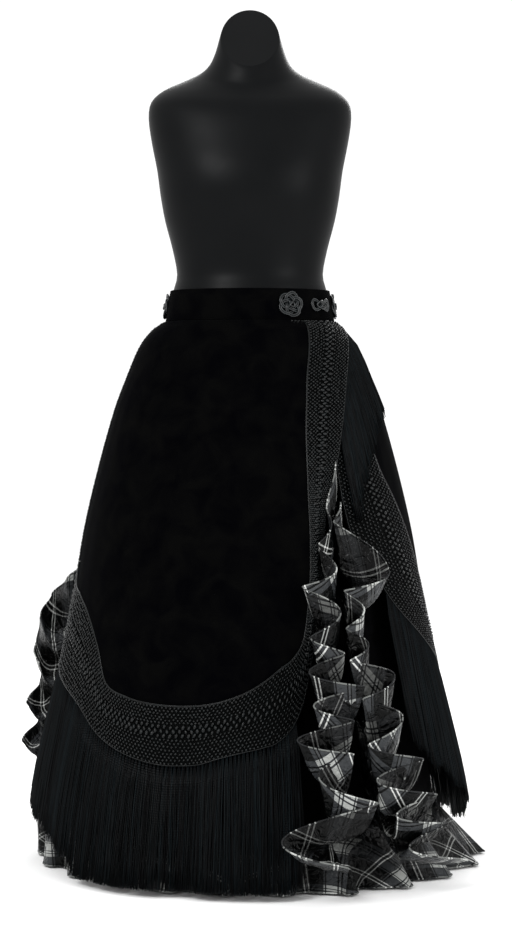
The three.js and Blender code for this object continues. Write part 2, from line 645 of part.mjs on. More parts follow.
// ---- Belt and its knots ----------------------------------------------------------------------
const BELT_OUTLINE = [
  { z: BELT_BOTTOM, halfWidth: 146.9, halfDepth: 118.9 },
  { z: 983, halfWidth: 142, halfDepth: 113 },
  { z: BELT_TOP, halfWidth: 138, halfDepth: 108.5 },
];
const FORM_GAP = 0.4;
const ROUND = 32; // sides of the dress form and the belt

function beltPoint(angle, z, out) {
  const [wide, deep] = ["halfWidth", "halfDepth"].map((c) => track(BELT_OUTLINE, "z", c, z) + out);
  return new THREE.Vector3(wide * Math.sin(rad(angle)), -deep * Math.cos(rad(angle)), z);
}

function belt() {
  const levels = BELT_OUTLINE.map((row) => row.z);
  const ring = (z, out) =>
    Array.from({ length: ROUND }, (_, i) => beltPoint((360 * i) / ROUND, z, out));
  return wallBetween(levels.map((z) => ring(z, BELT_WALL)), levels.map((z) => ring(z, 0)), true);
}

// Bends a flat ornament, drawn round its own middle, on to the front of the belt.
function onBelt(flat, angle, z) {
  const place = flat.attributes.position;
  const [before, after] = [angle - 0.5, angle + 0.5].map((a) => beltPoint(a, z, BELT_WALL));
  const perTurn = before.distanceTo(after);
  flat.computeBoundingBox();
  const back = flat.boundingBox.min.z;
  for (let i = 0; i < place.count; i++) {
    const height = z + place.getY(i);
    const out = BELT_WALL + SEAM + place.getZ(i) - back;
    const p = beltPoint(angle + place.getX(i) / perTurn, height, out);
    place.setXYZ(i, p.x, p.y, height);
  }
  return flat;
}

const KNOT_HEIGHT = 983;
const KNOT_RADIUS = 14.5;
const KNOT_CORD = 2.7;
function rosette(angle) {
  const knot = new THREE.TorusKnotGeometry(KNOT_RADIUS, KNOT_CORD, 40, 3, 3, 5);
  knot.scale(1, 1, 0.6);
  return onBelt(knot, angle, KNOT_HEIGHT);
}

// A figure of eight of cord between two rosettes.
const LINK_LENGTH = 23;
const LINK_HEIGHT = 9;
class EightCurve extends THREE.Curve {
  getPoint(t) {
    const a = 2 * Math.PI * t;
    return new THREE.Vector3(LINK_LENGTH * Math.cos(a), LINK_HEIGHT * Math.sin(2 * a), 2.6 * Math.sin(a));
  }
}
function link(angle) {
  const cord = new THREE.TubeGeometry(new EightCurve(), 16, 2.2, 3, true);
  return onBelt(cord, angle, KNOT_HEIGHT);
}

const ROSETTES = [
  { name: "rosette_front_left", angle: 28.5 },
  { name: "rosette_side_left", angle: 90 },
  { name: "rosette_back_left", angle: 150 },
  { name: "rosette_back_right", angle: 210 },
  { name: "rosette_side_right", angle: 268 },
];
const LINKS = [
  { name: "link_front_left", angle: 57 },
  { name: "link_side_left", angle: 120 },
  { name: "link_back", angle: 180 },
  { name: "link_side_right", angle: 239 },
];

// ---- Dress form ------------------------------------------------------------------------------
const FORM = [
  { z: 742, halfWidth: 120, halfDepth: 92, forward: 0 },
  { z: 752, halfWidth: 158, halfDepth: 121, forward: -1 },
  { z: 775, halfWidth: 171, halfDepth: 132, forward: -2 },
  { z: 815, halfWidth: 173, halfDepth: 134, forward: -2 },
  { z: 865, halfWidth: 166, halfDepth: 131, forward: -2 },
  { z: 915, halfWidth: 154, halfDepth: 124, forward: -1 },
  { z: BELT_BOTTOM, halfWidth: 146.5, halfDepth: 118.5, forward: 0 },
  { z: 983, halfWidth: 141.6, halfDepth: 112.6, forward: 0 },
  { z: BELT_TOP, halfWidth: 137.6, halfDepth: 108.1, forward: 0 },
  { z: 1040, halfWidth: 131, halfDepth: 101, forward: 0 },
  { z: 1085, halfWidth: 139, halfDepth: 103, forward: 3 },
  { z: 1135, halfWidth: 152, halfDepth: 109, forward: 8 },
  { z: 1180, halfWidth: 160, halfDepth: 115, forward: 13 },
  { z: 1225, halfWidth: 166, halfDepth: 115, forward: 10 },
  { z: 1275, halfWidth: 176, halfDepth: 108, forward: 0 },
  { z: 1320, halfWidth: 182, halfDepth: 99, forward: -7 },
  // The neck leans: its front starts lower on the chest than its back on the shoulders.
  { z: 1350, halfWidth: 177, halfDepth: 90, forward: -10, lean: 0.1 },
  { z: 1371, halfWidth: 154, halfDepth: 80, forward: -12, lean: 0.2 },
  { z: 1386, halfWidth: 119, halfDepth: 72, forward: -12, lean: 0.28 },
  { z: 1398, halfWidth: 91, halfDepth: 66, forward: -10, lean: 0.36 },
  { z: 1412, halfWidth: 74, halfDepth: 61, forward: -7, lean: 0.46 },
  { z: 1432, halfWidth: 63, halfDepth: 57, forward: -4, lean: 0.72 },
  // It ends in a flat oval face.
  { z: 1459, halfWidth: 54, halfDepth: 53, forward: -2, lean: 1.12 },
  { z: 1463, halfWidth: 51.5, halfDepth: 50.5, forward: -2, lean: 1.12 },
];

// A level of the form, tilted by its lean so that its front is lower than its back.
function formRing({ z, halfWidth, halfDepth, forward, lean = 0 }) {
  return Array.from({ length: ROUND }, (_, i) => {
    const a = (2 * Math.PI * i) / ROUND;
    const y = -halfDepth * Math.cos(a);
    return new THREE.Vector3(halfWidth * Math.sin(a), y - forward, z + lean * y);
  });
}

// Closes a stack of rings with a fan at each end.
function skin(rings) {
  const ends = [rings[0], rings[rings.length - 1]].map((ring) =>
    ring.reduce((sum, p) => sum.add(p), new THREE.Vector3()).divideScalar(ring.length),
  );
  const positions = [...rings.flat(), ...ends].flatMap((p) => [p.x, p.y, p.z]);
  const count = rings[0].length;
  const index = [];
  for (let r = 0; r < rings.length - 1; r++)
    for (let c = 0; c < count; c++) {
      const [a, b] = [r * count + c, r * count + ((c + 1) % count)];
      index.push(a, b, b + count, a, b + count, a + count);
    }
  const last = (rings.length - 1) * count;
  for (let c = 0; c < count; c++) {
    const d = (c + 1) % count;
    index.push(c, rings.length * count, d, last + c, last + d, rings.length * count + 1);
  }
  return facingOut(positions, index);
}

const dressForm = () => skin(FORM.map(formRing));

const FOOT_RADIUS = 190;
const FOOT_HEIGHT = 12;
const POLE_RADIUS = 16;
const COLLAR_RADIUS = 27;
const COLLAR_HEIGHT = 46;
const FORM_BOTTOM = FORM[0].z;
const STAND_GAP = 0.3; // clear space between two parts of the stand

// A turned piece from half its outline, radius and height by turns.
function turned(outline, sides) {
  const lathe = new THREE.LatheGeometry(outline.map(([r, z]) => new THREE.Vector2(r, z)), sides);
  return lathe.rotateX(Math.PI / 2);
}

function foot() {
  const top = FOOT_HEIGHT;
  return turned([[0, 0], [FOOT_RADIUS, 0], [FOOT_RADIUS, 5], [FOOT_RADIUS - 8, top], [0, top]], 36);
}
function collar() {
  const low = FOOT_HEIGHT + STAND_GAP;
  const high = FOOT_HEIGHT + COLLAR_HEIGHT;
  const bore = POLE_RADIUS + STAND_GAP;
  const flare = [[COLLAR_RADIUS + 8, low], [COLLAR_RADIUS, low + 9], [COLLAR_RADIUS, high]];
  return turned([[bore, low], ...flare, [bore, high], [bore, low]], 16);
}
function pole() {
  const low = FOOT_HEIGHT + STAND_GAP;
  const high = FORM_BOTTOM - STAND_GAP;
  return turned([[0, low], [POLE_RADIUS, low], [POLE_RADIUS, high], [0, high]], 16);
}

// ---- The whole skirt -------------------------------------------------------------------------
function baseSkirt() {
  const levels = [WAIST, 942, 924, 890, 810, 640, 430, 262, 200, 150, BASE_HEM];
  const sides = 36;
  const ring = (z, out) =>
    Array.from({ length: sides }, (_, i) => baseAt((360 * i) / sides, z, out));
  return wallBetween(levels.map((z) => ring(z, 0)), levels.map((z) => ring(z, -LINING_CLOTH)), true);
}

const finish = (color, roughness, metalness = 0) => ({ color, roughness, metalness });
const BLACK_VELVET = finish(0x08080a, 0.95);
const BASE_CLOTH = finish(0x070708, 0.9);
const KNOTTED_SILK = finish(0x17191b, 0.6);
const SILK_FRINGE = finish(0x101314, 0.55);
const CHECKED_TAFFETA = finish(0x6f7173, 0.35);
const PASSEMENTERIE = finish(0x1c2022, 0.5);
const PAINTED_FORM = finish(0x1d1f21, 0.5);
const BLACK_STEEL = finish(0x141414, 0.45, 0.3);

const skirt = new THREE.Group();
function add(name, body, look) {
  const mesh = new THREE.Mesh(body, new THREE.MeshStandardMaterial(look));
  mesh.name = name;
  skirt.add(mesh);
}

add("stand_foot", foot(), BLACK_STEEL);
add("stand_collar", collar(), BLACK_STEEL);
add("stand_pole", pole(), BLACK_STEEL);
add("dress_form", dressForm(), PAINTED_FORM);
add("belt", belt(), BLACK_VELVET);
for (const { name, angle } of ROSETTES) add(name, rosette(angle), PASSEMENTERIE);
for (const { name, angle } of LINKS) add(name, link(angle), PASSEMENTERIE);

add("base_skirt", baseSkirt(), BASE_CLOTH);
add("velvet_apron", panel(APRON), BLACK_VELVET);
add("velvet_back", panel(BACK), BLACK_VELVET);

const apronEnd = APRON_EDGE.length - 1;
const backEnd = BACK_EDGE.length - 1;
const BORDERS = [
  { name: "border_apron_left", ...APRON, from: 0, to: 10, cells: 4 },
  { name: "border_apron_front", ...APRON, from: 10, to: APRON_MITRE, cells: 2 },
  { name: "border_apron_right", ...APRON, from: APRON_MITRE, to: apronEnd, cells: 3 },
  { name: "border_back_left", ...BACK, from: 0, to: 12, cells: 3 },
  { name: "border_back_hem", ...BACK, from: 12, to: 20, cells: 2 },
  { name: "border_back_right", ...BACK, from: 20, to: backEnd, cells: 4 },
];
for (const b of BORDERS) add(b.name, border(b), KNOTTED_SILK);

const FRINGES = [
  { name: "fringe_apron_left", ...APRON, from: 0.4, to: 5, count: 16, length: 150, pieces: 4 },
  { name: "fringe_apron_front", ...APRON, from: 11, to: APRON_MITRE, count: 50, length: 250, pieces: 1 },
  { name: "fringe_apron_right", ...APRON, from: APRON_MITRE, to: 25, count: 23, length: 236, pieces: 1 },
  { name: "fringe_apron_side", ...APRON, from: 27.5, to: apronEnd - 0.4, count: 12, length: 200, pieces: 4 },
  { name: "fringe_back_left", ...BACK, from: 9.9, to: 13, count: 28, length: 240, pieces: 1 },
  { name: "fringe_back_hem", ...BACK, from: 13, to: 19, count: 44, length: 204, pieces: 1 },
  { name: "fringe_back_right", ...BACK, from: 19, to: 22.3, count: 20, length: 204, pieces: 1 },
];
for (const f of FRINGES) add(f.name, fringe(f), SILK_FRINGE);

add("cascade_left_outer", cascade(OUTER_CASCADE), CHECKED_TAFFETA);
add("cascade_left_inner", cascade(INNER_CASCADE), CHECKED_TAFFETA);
add("cascade_right", cascade(FAR_CASCADE), CHECKED_TAFFETA);
add("flounce_hem", flounce(), CHECKED_TAFFETA);

export default skirt;
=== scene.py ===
# A flamenco skirt of black velvet on a limbless dress form: knotted silk borders and fringe over
# cascades and a hem flounce of checked taffeta.
# Sizes are worked out in millimetres and made metres where a mesh is placed. Angles run round the
# skirt from the front in degrees, positive towards +X, the wearer's left. A point on the cloth is
# given by its angle, its height and how far it lies outside the hanging surface.
import math

import bmesh
import bpy
import numpy as np
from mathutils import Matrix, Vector


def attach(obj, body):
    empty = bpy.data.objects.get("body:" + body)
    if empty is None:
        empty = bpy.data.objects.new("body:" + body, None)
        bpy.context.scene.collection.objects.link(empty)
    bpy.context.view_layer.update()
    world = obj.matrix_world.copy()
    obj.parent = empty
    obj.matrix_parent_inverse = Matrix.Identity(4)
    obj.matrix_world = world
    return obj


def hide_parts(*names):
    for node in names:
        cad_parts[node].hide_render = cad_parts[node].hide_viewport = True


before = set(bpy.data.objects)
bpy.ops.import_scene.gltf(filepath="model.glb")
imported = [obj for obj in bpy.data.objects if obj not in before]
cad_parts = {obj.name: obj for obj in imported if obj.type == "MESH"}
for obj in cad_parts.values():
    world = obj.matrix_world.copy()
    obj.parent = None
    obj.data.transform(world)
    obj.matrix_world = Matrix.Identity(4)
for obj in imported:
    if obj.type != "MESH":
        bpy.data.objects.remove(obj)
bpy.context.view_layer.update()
MM = 0.001

# ---- Camera ------------------------------------------------------------------------------------
VIEW_DISTANCE = 4.1
VIEW_HEIGHT = 0.815
AIM = Vector((0.0108, 0, 0.6926))
camera = bpy.data.objects.new("camera", bpy.data.cameras.new("camera"))
camera.data.sensor_fit = "VERTICAL"
camera.data.sensor_height = 36
camera.data.lens = 87.6
camera.location = (0, -VIEW_DISTANCE, VIEW_HEIGHT)
camera.rotation_euler = (AIM - camera.location).to_track_quat("-Z", "Y").to_euler()
bpy.context.scene.collection.objects.link(camera)
bpy.context.scene.camera = camera

# ---- Sizes -------------------------------------------------------------------------------------
# Walls of cloth, each from face to face.
VELVET, NET, TAFFETA, CREPE = 1.5, 1.2, 0.9, 1.0
# Heights above the floor, and the gap at the seam of the flounce.
WAIST, BASE_HEM, FLOUNCE_HEM, FRINGE_TIPS = 954.7, 100, 5, 12
SEAM = 0.4

# height: half width, half depth of the hanging cloth
HANG = [
    (955, 152, 124), (930, 177, 145), (905, 193, 160), (851, 215, 184), (797, 235, 206),
    (689, 265, 244), (581, 290, 280), (473, 308, 310), (365, 330, 340), (257, 354, 370),
    (149, 376, 398), (0, 396, 424),
]
# angle, spread, how far it stands out at the floor, the height where it dies away
FOLDS = [
    (-17, 3.6, -17, 430), (-31, 10, 7, 620), (3, 9, 6, 600), (-66, 9, -8, 560), (62, 8, -9, 420),
    (78, 8, 7, 620), (103, 7, -13, 560), (118, 9, 14, 700), (136, 7, -15, 640),
    (152, 9, 17, 760), (170, 7, -14, 690), (187, 9, 18, 780), (205, 7, -13, 610),
    (221, 8, 15, 700), (237, 7, -10, 560),
]
# height, how far the base skirt hangs inside the velvet
BASE_SET_IN = [(955, 3.4), (930, 8), (905, 12), (797, 16), (581, 27), (365, 42), (149, 54), (0, 58)]
# The base skirt swings out over the flounce at the wearer's right, below this height.
SWING_ANGLE, SWING_SPREAD, SWING_RISE, SWING_TOP = -86, 27, 60, 270

# The edges of the two velvet panels, from the waist at the wearer's left, down, along the hem and
# up again. Each row has angle and height on the velvet's edge, angle and height on the border's
# outer edge, and the border's tuck towards the base. A corner is the row where side meets hem.
APRON_EDGE = [
    (37, WAIST, 82, WAIST, 0), (33, 928, 69, 930, 0), (30, 900, 59.5, 903, 0),
    (26.5, 860, 51.5, 864, 0), (24, 815, 45, 820, 0), (22, 760, 39, 764, 0),
    (21, 700, 33.5, 702, 0), (20.3, 640, 28.5, 642, 5), (19.8, 575, 26, 577, 12),
    (18.6, 500, 24, 496, 15), (16, 421, 17, 345, 12), (12.5, 388, 12.3, 283, 3),
    (8.5, 371, 7.5, 253, 0), (4, 351, 3, 243, 0), (-1.5, 332, -2, 236, 0),
    (-8, 318, -8, 226, 0), (-14, 311, -14, 214, 0), (-20, 309, -20, 211, 0),
    (-28, 311, -27, 215, 0), (-36, 318, -36, 228, 0), (-45, 336, -45, 249, 0),
    (-52, 396, -57, 291, 0), (-61, 446, -71, 316, 0), (-71, 475, -84, 342, 0),
    (-80, 492, -93, 392, 0), (-86, 550, -100, 485, 0), (-87, 640, -104, 610, 0),
    (-87.5, 740, -106, 728, 0), (-88, 830, -109, 826, 0), (-90, 900, -114, 900, 0),
    (-93, WAIST, -124, WAIST, 0),
]
APRON_CORNERS = (10, 25)
APRON_MITRE = 20
BACK_EDGE = [
    (50, WAIST, 26, WAIST, 0), (51, 928, 27.5, 928, 0), (52, 895, 29, 895, 0),
    (53, 850, 30.5, 850, 0), (54, 800, 32, 798, 0), (56, 745, 33.5, 742, 0),
    (59, 692, 34, 686, 0), (65, 645, 34.5, 634, 0), (71, 592, 36.5, 582, 0),
    (77, 536, 43, 528, 0), (85, 474, 53, 462, 0), (94, 424, 67, 405, 0),
    (105, 380, 84, 343, 0), (118, 348, 103, 282, 0), (132, 328, 122, 240, 0),
    (148, 317, 142, 218, 0), (164, 312, 162, 211, 0), (180, 312, 180, 210, 0),
    (195, 318, 196, 217, 0), (207, 335, 211, 236, 0), (217, 374, 226, 276, 0),
    (223, 432, 238, 344, 0), (225, 510, 245, 440, 0), (225, 600, 247, 560, 0),
    (224, 700, 247, 684, 0), (222, 800, 247, 794, 0), (218, 880, 248, 880, 0),
    (212, WAIST, 249, WAIST, 0),
]
BACK_CORNERS = (11, 22)

# ---- Smooth curves through tables --------------------------------------------------------------
def mix(a, b, f):
    return a + (b - a) * f


def smoothstep(x, low, high):
    f = np.clip((x - low) / (high - low), 0, 1)
    return f * f * (3 - 2 * f)


def through(rows, column, at):
    """Reads a column of a table at values of its first column, on a smooth curve."""
    table = np.array(rows, float)
    table = table[np.argsort(table[:, 0], kind="stable")]
    key, value = table[:, 0], table[:, column]
    slope = np.empty(len(key))
    slope[1:-1] = (value[2:] - value[:-2]) / (key[2:] - key[:-2])
    slope[0] = (value[1] - value[0]) / (key[1] - key[0])
    slope[-1] = (value[-1] - value[-2]) / (key[-1] - key[-2])
    at = np.clip(at, key[0], key[-1])
    i = np.clip(np.searchsorted(key, at, side="left") - 1, 0, len(key) - 2)
    width = key[i + 1] - key[i]
    f = (at - key[i]) / width
    f2, f3 = f * f, f * f * f
    return (
        (2 * f3 - 3 * f2 + 1) * value[i]
        + (f3 - 2 * f2 + f) * width * slope[i]
        + (3 * f2 - 2 * f3) * value[i + 1]
        + (f3 - f2) * width * slope[i + 1]
    )


def turn(start, to):
    """The shorter way round from one angle to another."""
    return (to - start + 540) % 360 - 180


def unit(v):
    return v / np.maximum(np.linalg.norm(v, axis=-1, keepdims=True), 1e-9)


# ---- The hang of the cloth ---------------------------------------------------------------------
def fold_at(angle, z):
    total = 0 * (angle + z)
    for middle, spread, rise, top in FOLDS:
        fade = smoothstep(top - z, 0, top)
        total = total + rise * fade * np.exp(-((turn(middle, angle) / spread) ** 2))
    return total


def hang(angle, z, out=0.0, folds=1.0):
    """A point on the hanging cloth, moved out by some millimetres."""
    reach = out + (folds * fold_at(angle, z) if folds else 0)
    a = np.radians(angle)
    x = (through(HANG, 1, z) + reach) * np.sin(a)
    y = -(through(HANG, 2, z) + reach) * np.cos(a)
    return np.stack([x, y, z + 0 * x], -1)


def per_degree(angle, z):
    return np.linalg.norm(hang(angle + 0.5, z, 0, 0) - hang(angle - 0.5, z, 0, 0), axis=-1)


def hang_angle(p):
    wide, deep = through(HANG, 1, p[..., 2]), through(HANG, 2, p[..., 2])
    return np.degrees(np.arctan2(p[..., 0] / wide, -p[..., 1] / deep))


# Below the belt the panels part from each other over this height.
PARTING = 12


def apron_lift(z):
    return mix(1.2, 6.5, np.clip((WAIST - z) / PARTING, 0, 1))


def back_lift(z):
    return mix(-1.1, 0.5, np.clip((WAIST - z) / PARTING, 0, 1))


def base_out(angle, z):
    round_it = np.exp(-((turn(SWING_ANGLE, angle) / SWING_SPREAD) ** 2))
    swing = SWING_RISE * round_it * smoothstep(SWING_TOP - z, 0, SWING_TOP - BASE_HEM)
    return swing - through(BASE_SET_IN, 1, z)


def station(edge, at):
    rows = [(i, *row) for i, row in enumerate(edge)]
    return [through(rows, column, at) for column in range(1, 6)]


def panel_point(edge, corners, across, down):
    right, left = corners
    top = len(edge) - 1
    side_a, side_b = station(edge, right * down), station(edge, top - (top - left) * down)
    hem = station(edge, mix(right, left, across))
    corner_a, corner_b = station(edge, np.float64(right)), station(edge, np.float64(left))
    waists = [(edge[0][0], edge[top][0]), (WAIST, WAIST)]
    angle, z = (
        mix(mix(*waists[k], across), hem[k], down)
        + mix(side_a[k], side_b[k], across)
        - mix(mix(*waists[k], across), mix(corner_a[k], corner_b[k], across), down)
        for k in (0, 1)
    )
    return angle, z


def border_point(edge, lift, at, across, out=0.0):
    """0 across is the velvet's edge and 1 the border's outer edge."""
    in_angle, in_z, out_angle, out_z, tuck = station(edge, at)
    angle = mix(in_angle, out_angle, across)
    z = np.minimum(mix(in_z, out_z, across), WAIST)
    tucked = tuck * smoothstep(across, 0.25, 1)
    return hang(angle, z, lift(z) + out - tucked)


def border_width(edge, at):
    in_angle, in_z, out_angle, out_z, _ = station(edge, at)
    middle = (in_angle + out_angle) / 2, (in_z + out_z) / 2
    return np.hypot(turn(in_angle, out_angle) * per_degree(*middle), in_z - out_z)


def spaced(path, start, end, pitch, offset=0.0):
    """Places along a path, a function of its stations, that lie one pitch apart."""
    fine = np.linspace(start, end, 1600)
    run = np.linalg.norm(np.diff(path(fine), axis=0), axis=-1)
    length = np.concatenate([[0], np.cumsum(run)])
    count = max(int(length[-1] / pitch), 1)
    return np.interp((np.arange(count) + offset + 0.25) * length[-1] / count, length, fine)


# ---- Mesh makers -------------------------------------------------------------------------------
def finished(name, mesh, look, slot, *nodes):
    piece = bpy.data.objects.new(name, mesh)
    bpy.context.scene.collection.objects.link(piece)
    mesh.materials.clear()
    mesh.materials.append(look)
    mesh.shade_smooth()
    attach(piece, "root")
    if nodes:
        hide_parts(*nodes)
    return piece


def woven(name, columns, rows, place, cut, ring=False, lit=None):
    """A sheet from a grid. place(u, v) gives its points in millimetres, cut(u, v) where each lies
    on the flat cloth in metres, and lit(u, v) how much light reaches it."""
    bm = bmesh.new()
    bmesh.ops.create_grid(bm, x_segments=columns, y_segments=rows, size=0.5)
    mesh = bpy.data.meshes.new(name)
    bm.to_mesh(mesh)
    bm.free()
    flat = np.empty(3 * len(mesh.vertices))
    mesh.vertices.foreach_get("co", flat)
    u, v = (np.clip(flat.reshape(-1, 3)[:, k] + 0.5, 0, 1) for k in (0, 1))
    mesh.vertices.foreach_set("co", (place(u, v) * MM).ravel())
    corner = np.empty(len(mesh.loops), np.int32)
    mesh.loops.foreach_get("vertex_index", corner)
    mesh.uv_layers.new(name="cut").data.foreach_set("uv", cut(u, v)[corner].ravel())
    if lit is not None:
        shades = np.stack([lit(u, v), v], -1)
        mesh.uv_layers.new(name="lit").data.foreach_set("uv", shades[corner].ravel())
    if ring:
        bm = bmesh.new()
        bm.from_mesh(mesh)
        bmesh.ops.remove_doubles(bm, verts=bm.verts, dist=2e-5)
        bm.to_mesh(mesh)
        bm.free()
    mesh.update()
    return mesh


def thickened(piece, wall):
    shell = piece.modifiers.new("wall", "SOLIDIFY")
    shell.thickness = wall * MM
    shell.offset = 0
    return piece


def bead_form():
    bm = bmesh.new()
    bmesh.ops.create_icosphere(bm, subdivisions=1, radius=1)
    return bm


def strand_form(steps, sides=3):
    """A closed tube of unit radius that runs from 0 to 1 in z."""
    bm = bmesh.new()
    bmesh.ops.create_circle(bm, segments=sides, radius=1)
    rim = bm.edges[:]
    for k in range(steps):
        grown = bmesh.ops.extrude_edge_only(bm, edges=rim)["geom"]
        rim = [g for g in grown if isinstance(g, bmesh.types.BMEdge)]
        for vert in {v for e in rim for v in e.verts}:
            vert.co.z = (k + 1) / steps
    bmesh.ops.holes_fill(bm, edges=bm.edges, sides=sides)
    bmesh.ops.recalc_face_normals(bm, faces=bm.faces)
    return bm


def tiled(name, form, place):
    """Many copies of a small form as one mesh. place(form's points) gives every copy's points in
    millimetres and their places on the thread, as arrays of copies by points."""
    form.verts.index_update()
    points = np.array([v.co[:] for v in form.verts])
    corners = np.array([v.index for f in form.faces for v in f.verts])
    sizes = np.array([len(f.verts) for f in form.faces])
    form.free()
    placed, thread = place(points)
    count, each = placed.shape[:2]
    mesh = bpy.data.meshes.new(name)
    mesh.vertices.add(count * each)
    mesh.vertices.foreach_set("co", (placed * MM).ravel())
    mesh.loops.add(count * len(corners))
    all_corners = (corners[None] + each * np.arange(count)[:, None]).ravel()
    mesh.loops.foreach_set("vertex_index", all_corners.astype(np.int32))
    mesh.polygons.add(count * len(sizes))
    starts = np.concatenate([[0], np.cumsum(np.tile(sizes, count))[:-1]])
    mesh.polygons.foreach_set("loop_start", starts.astype(np.int32))
    mesh.update(calc_edges=True)
    layer = mesh.uv_layers.new(name="thread")
    layer.data.foreach_set("uv", thread.reshape(-1, 2)[all_corners].ravel())
    mesh.validate()
    return mesh


def cord_mesh(name, paths, radius, closed=False, round_steps=2):
    """Cords along paths of points in millimetres, as one mesh."""
    data = bpy.data.curves.new(name, "CURVE")
    data.dimensions = "3D"
    data.bevel_depth = radius * MM
    data.bevel_resolution = round_steps
    data.use_fill_caps = True
    for path in paths:
        spline = data.splines.new("POLY")
        spline.points.add(len(path) - 1)
        spline.points.foreach_set("co", np.c_[path * MM, np.ones(len(path))].ravel())
        spline.use_cyclic_u = closed
        spline.use_smooth = True
    carrier = bpy.data.objects.new(name, data)
    mesh = bpy.data.meshes.new_from_object(carrier)
    bpy.data.objects.remove(carrier)
    bpy.data.curves.remove(data)
    mesh.name = name
    return mesh


# ---- Materials ---------------------------------------------------------------------------------
def srgb(hex_colour):
    """An sRGB hex colour as the linear colour that shaders use."""
    channels = [int(hex_colour[i : i + 2], 16) / 255 for i in (1, 3, 5)]
    linear = [c / 12.92 if c <= 0.04045 else ((c + 0.055) / 1.055) ** 2.4 for c in channels]
    return (*linear, 1)


def add(tree, kind, values=None, links=None, **settings):
    """Adds a node with its settings, its sockets' values and its links."""
    made = tree.nodes.new(kind)
    for key, value in settings.items():
        setattr(made, key, value)
    for key, value in (values or {}).items():
        made.inputs[key].default_value = value
    for key, source in (links or {}).items():
        tree.links.new(source, made.inputs[key])
    return made


def material(name, colour, roughness, **sockets):
    """A material with its shader; the caller adds what varies over the surface."""
    made = bpy.data.materials.new(name)
    made.use_nodes = True
    shader = made.node_tree.nodes["Principled BSDF"]
    shader.inputs["Base Color"].default_value = srgb(colour)
    shader.inputs["Roughness"].default_value = roughness
    for key, value in sockets.items():
        shader.inputs[key.replace("_", " ")].default_value = value
    return made, made.node_tree, shader


def ramp(tree, source, stops, interpolation="LINEAR"):
    made = add(tree, "ShaderNodeValToRGB", links={0: source})
    made.color_ramp.interpolation = interpolation
    elements = made.color_ramp.elements
    while len(elements) < len(stops):
        elements.new(1)
    for element, (place, colour) in zip(elements, stops):
        element.position = place
        element.color = srgb(colour) if isinstance(colour, str) else (colour, colour, colour, 1)
    return made.outputs[0]


def relief(tree, shader, height, distance, strength, under=None):
    """Relief some millimetres high, laid over another relief where one is given."""
    links = {"Height": height}
    if under is not None:
        links["Normal"] = under
    bump = add(tree, "ShaderNodeBump", {"Distance": distance * MM, "Strength": strength}, links)
    tree.links.new(bump.outputs[0], shader.inputs["Normal"])
    return bump.outputs[0]


def noise(tree, vector, size, detail=2.0, distortion=0.0):
    """Noise whose grains are about size millimetres across."""
    values = {"Scale": 1 / (size * MM), "Detail": detail, "Distortion": distortion}
    return add(tree, "ShaderNodeTexNoise", values, {"Vector": vector}).outputs[0]


def silk_velvet():
    """Silk velvet, woven with a cut pile: almost no light comes back except a faint bloom where
    the pile turns, and brushed patches a shade apart."""
    made, tree, shader = material("silk_velvet_cut_pile", "#020203", 0.95, Specular_IOR_Level=0.012,
        Sheen_Weight=0.008, Sheen_Roughness=0.4, Sheen_Tint=srgb("#8d929c"))
    place = add(tree, "ShaderNodeTexCoord").outputs["Object"]
    brushed = noise(tree, place, 46, 3, 0.6)
    shade = ramp(tree, brushed, [(0.34, "#010102"), (0.66, "#040404")])
    tree.links.new(shade, shader.inputs["Base Color"])
    # Tufts of pile are 0.3 mm apart, drawn at 1.6 mm so that they show.
    relief(tree, shader, noise(tree, place, 1.6, 3), 0.9, 0.55)
    return made


def matt_crepe():
    """Wool crepe: matt black, with a pebbled weave."""
    made, tree, shader = material("wool_crepe_woven", "#030303", 0.9, Specular_IOR_Level=0.02)
    place = add(tree, "ShaderNodeTexCoord").outputs["Object"]
    shade = ramp(tree, noise(tree, place, 14, 3), [(0.35, "#020202"), (0.65, "#050506")])
    tree.links.new(shade, shader.inputs["Base Color"])
    relief(tree, shader, noise(tree, place, 1.4, 2), 0.5, 0.6)
    return made


def knotted_silk():
    """Twisted silk cord tied in knots: black, with a cool glint on the crown of each knot."""
    made, tree, shader = material("silk_cord_knotted", "#090b0c", 0.27, Specular_IOR_Level=0.22)
    place = add(tree, "ShaderNodeTexCoord").outputs["Object"]
    shade = ramp(tree, noise(tree, place, 9, 2), [(0.32, "#030404"), (0.7, "#0c1011")])
    tree.links.new(shade, shader.inputs["Base Color"])
    relief(tree, shader, noise(tree, place, 0.9, 2, 1.0), 0.35, 0.6)
    return made


def net_ground():
    """Silk net under the knots: threads 3.5 mm apart laid both ways, slanted over the border."""
    made, tree, shader = material("silk_net_knotted", "#030404", 0.75, Specular_IOR_Level=0.03)
    cut = add(tree, "ShaderNodeUVMap", uv_map="cut").outputs[0]
    spacing = 3.5
    heights = []
    for tilt in (48, -48):
        turned = add(tree, "ShaderNodeMapping", {"Rotation": (0, 0, math.radians(tilt))},
            {"Vector": cut}).outputs[0]
        values = {"Scale": 2 * math.pi / (20 * spacing * MM), "Distortion": 0.4}
        heights.append(add(tree, "ShaderNodeTexWave", values, {"Vector": turned}).outputs[1])
    both = add(tree, "ShaderNodeMath", links={0: heights[0], 1: heights[1]}, operation="MAXIMUM")
    shade = ramp(tree, both.outputs[0], [(0.45, "#010101"), (0.9, "#050606")])
    tree.links.new(shade, shader.inputs["Base Color"])
    relief(tree, shader, both.outputs[0], 0.9, 0.9)
    return made


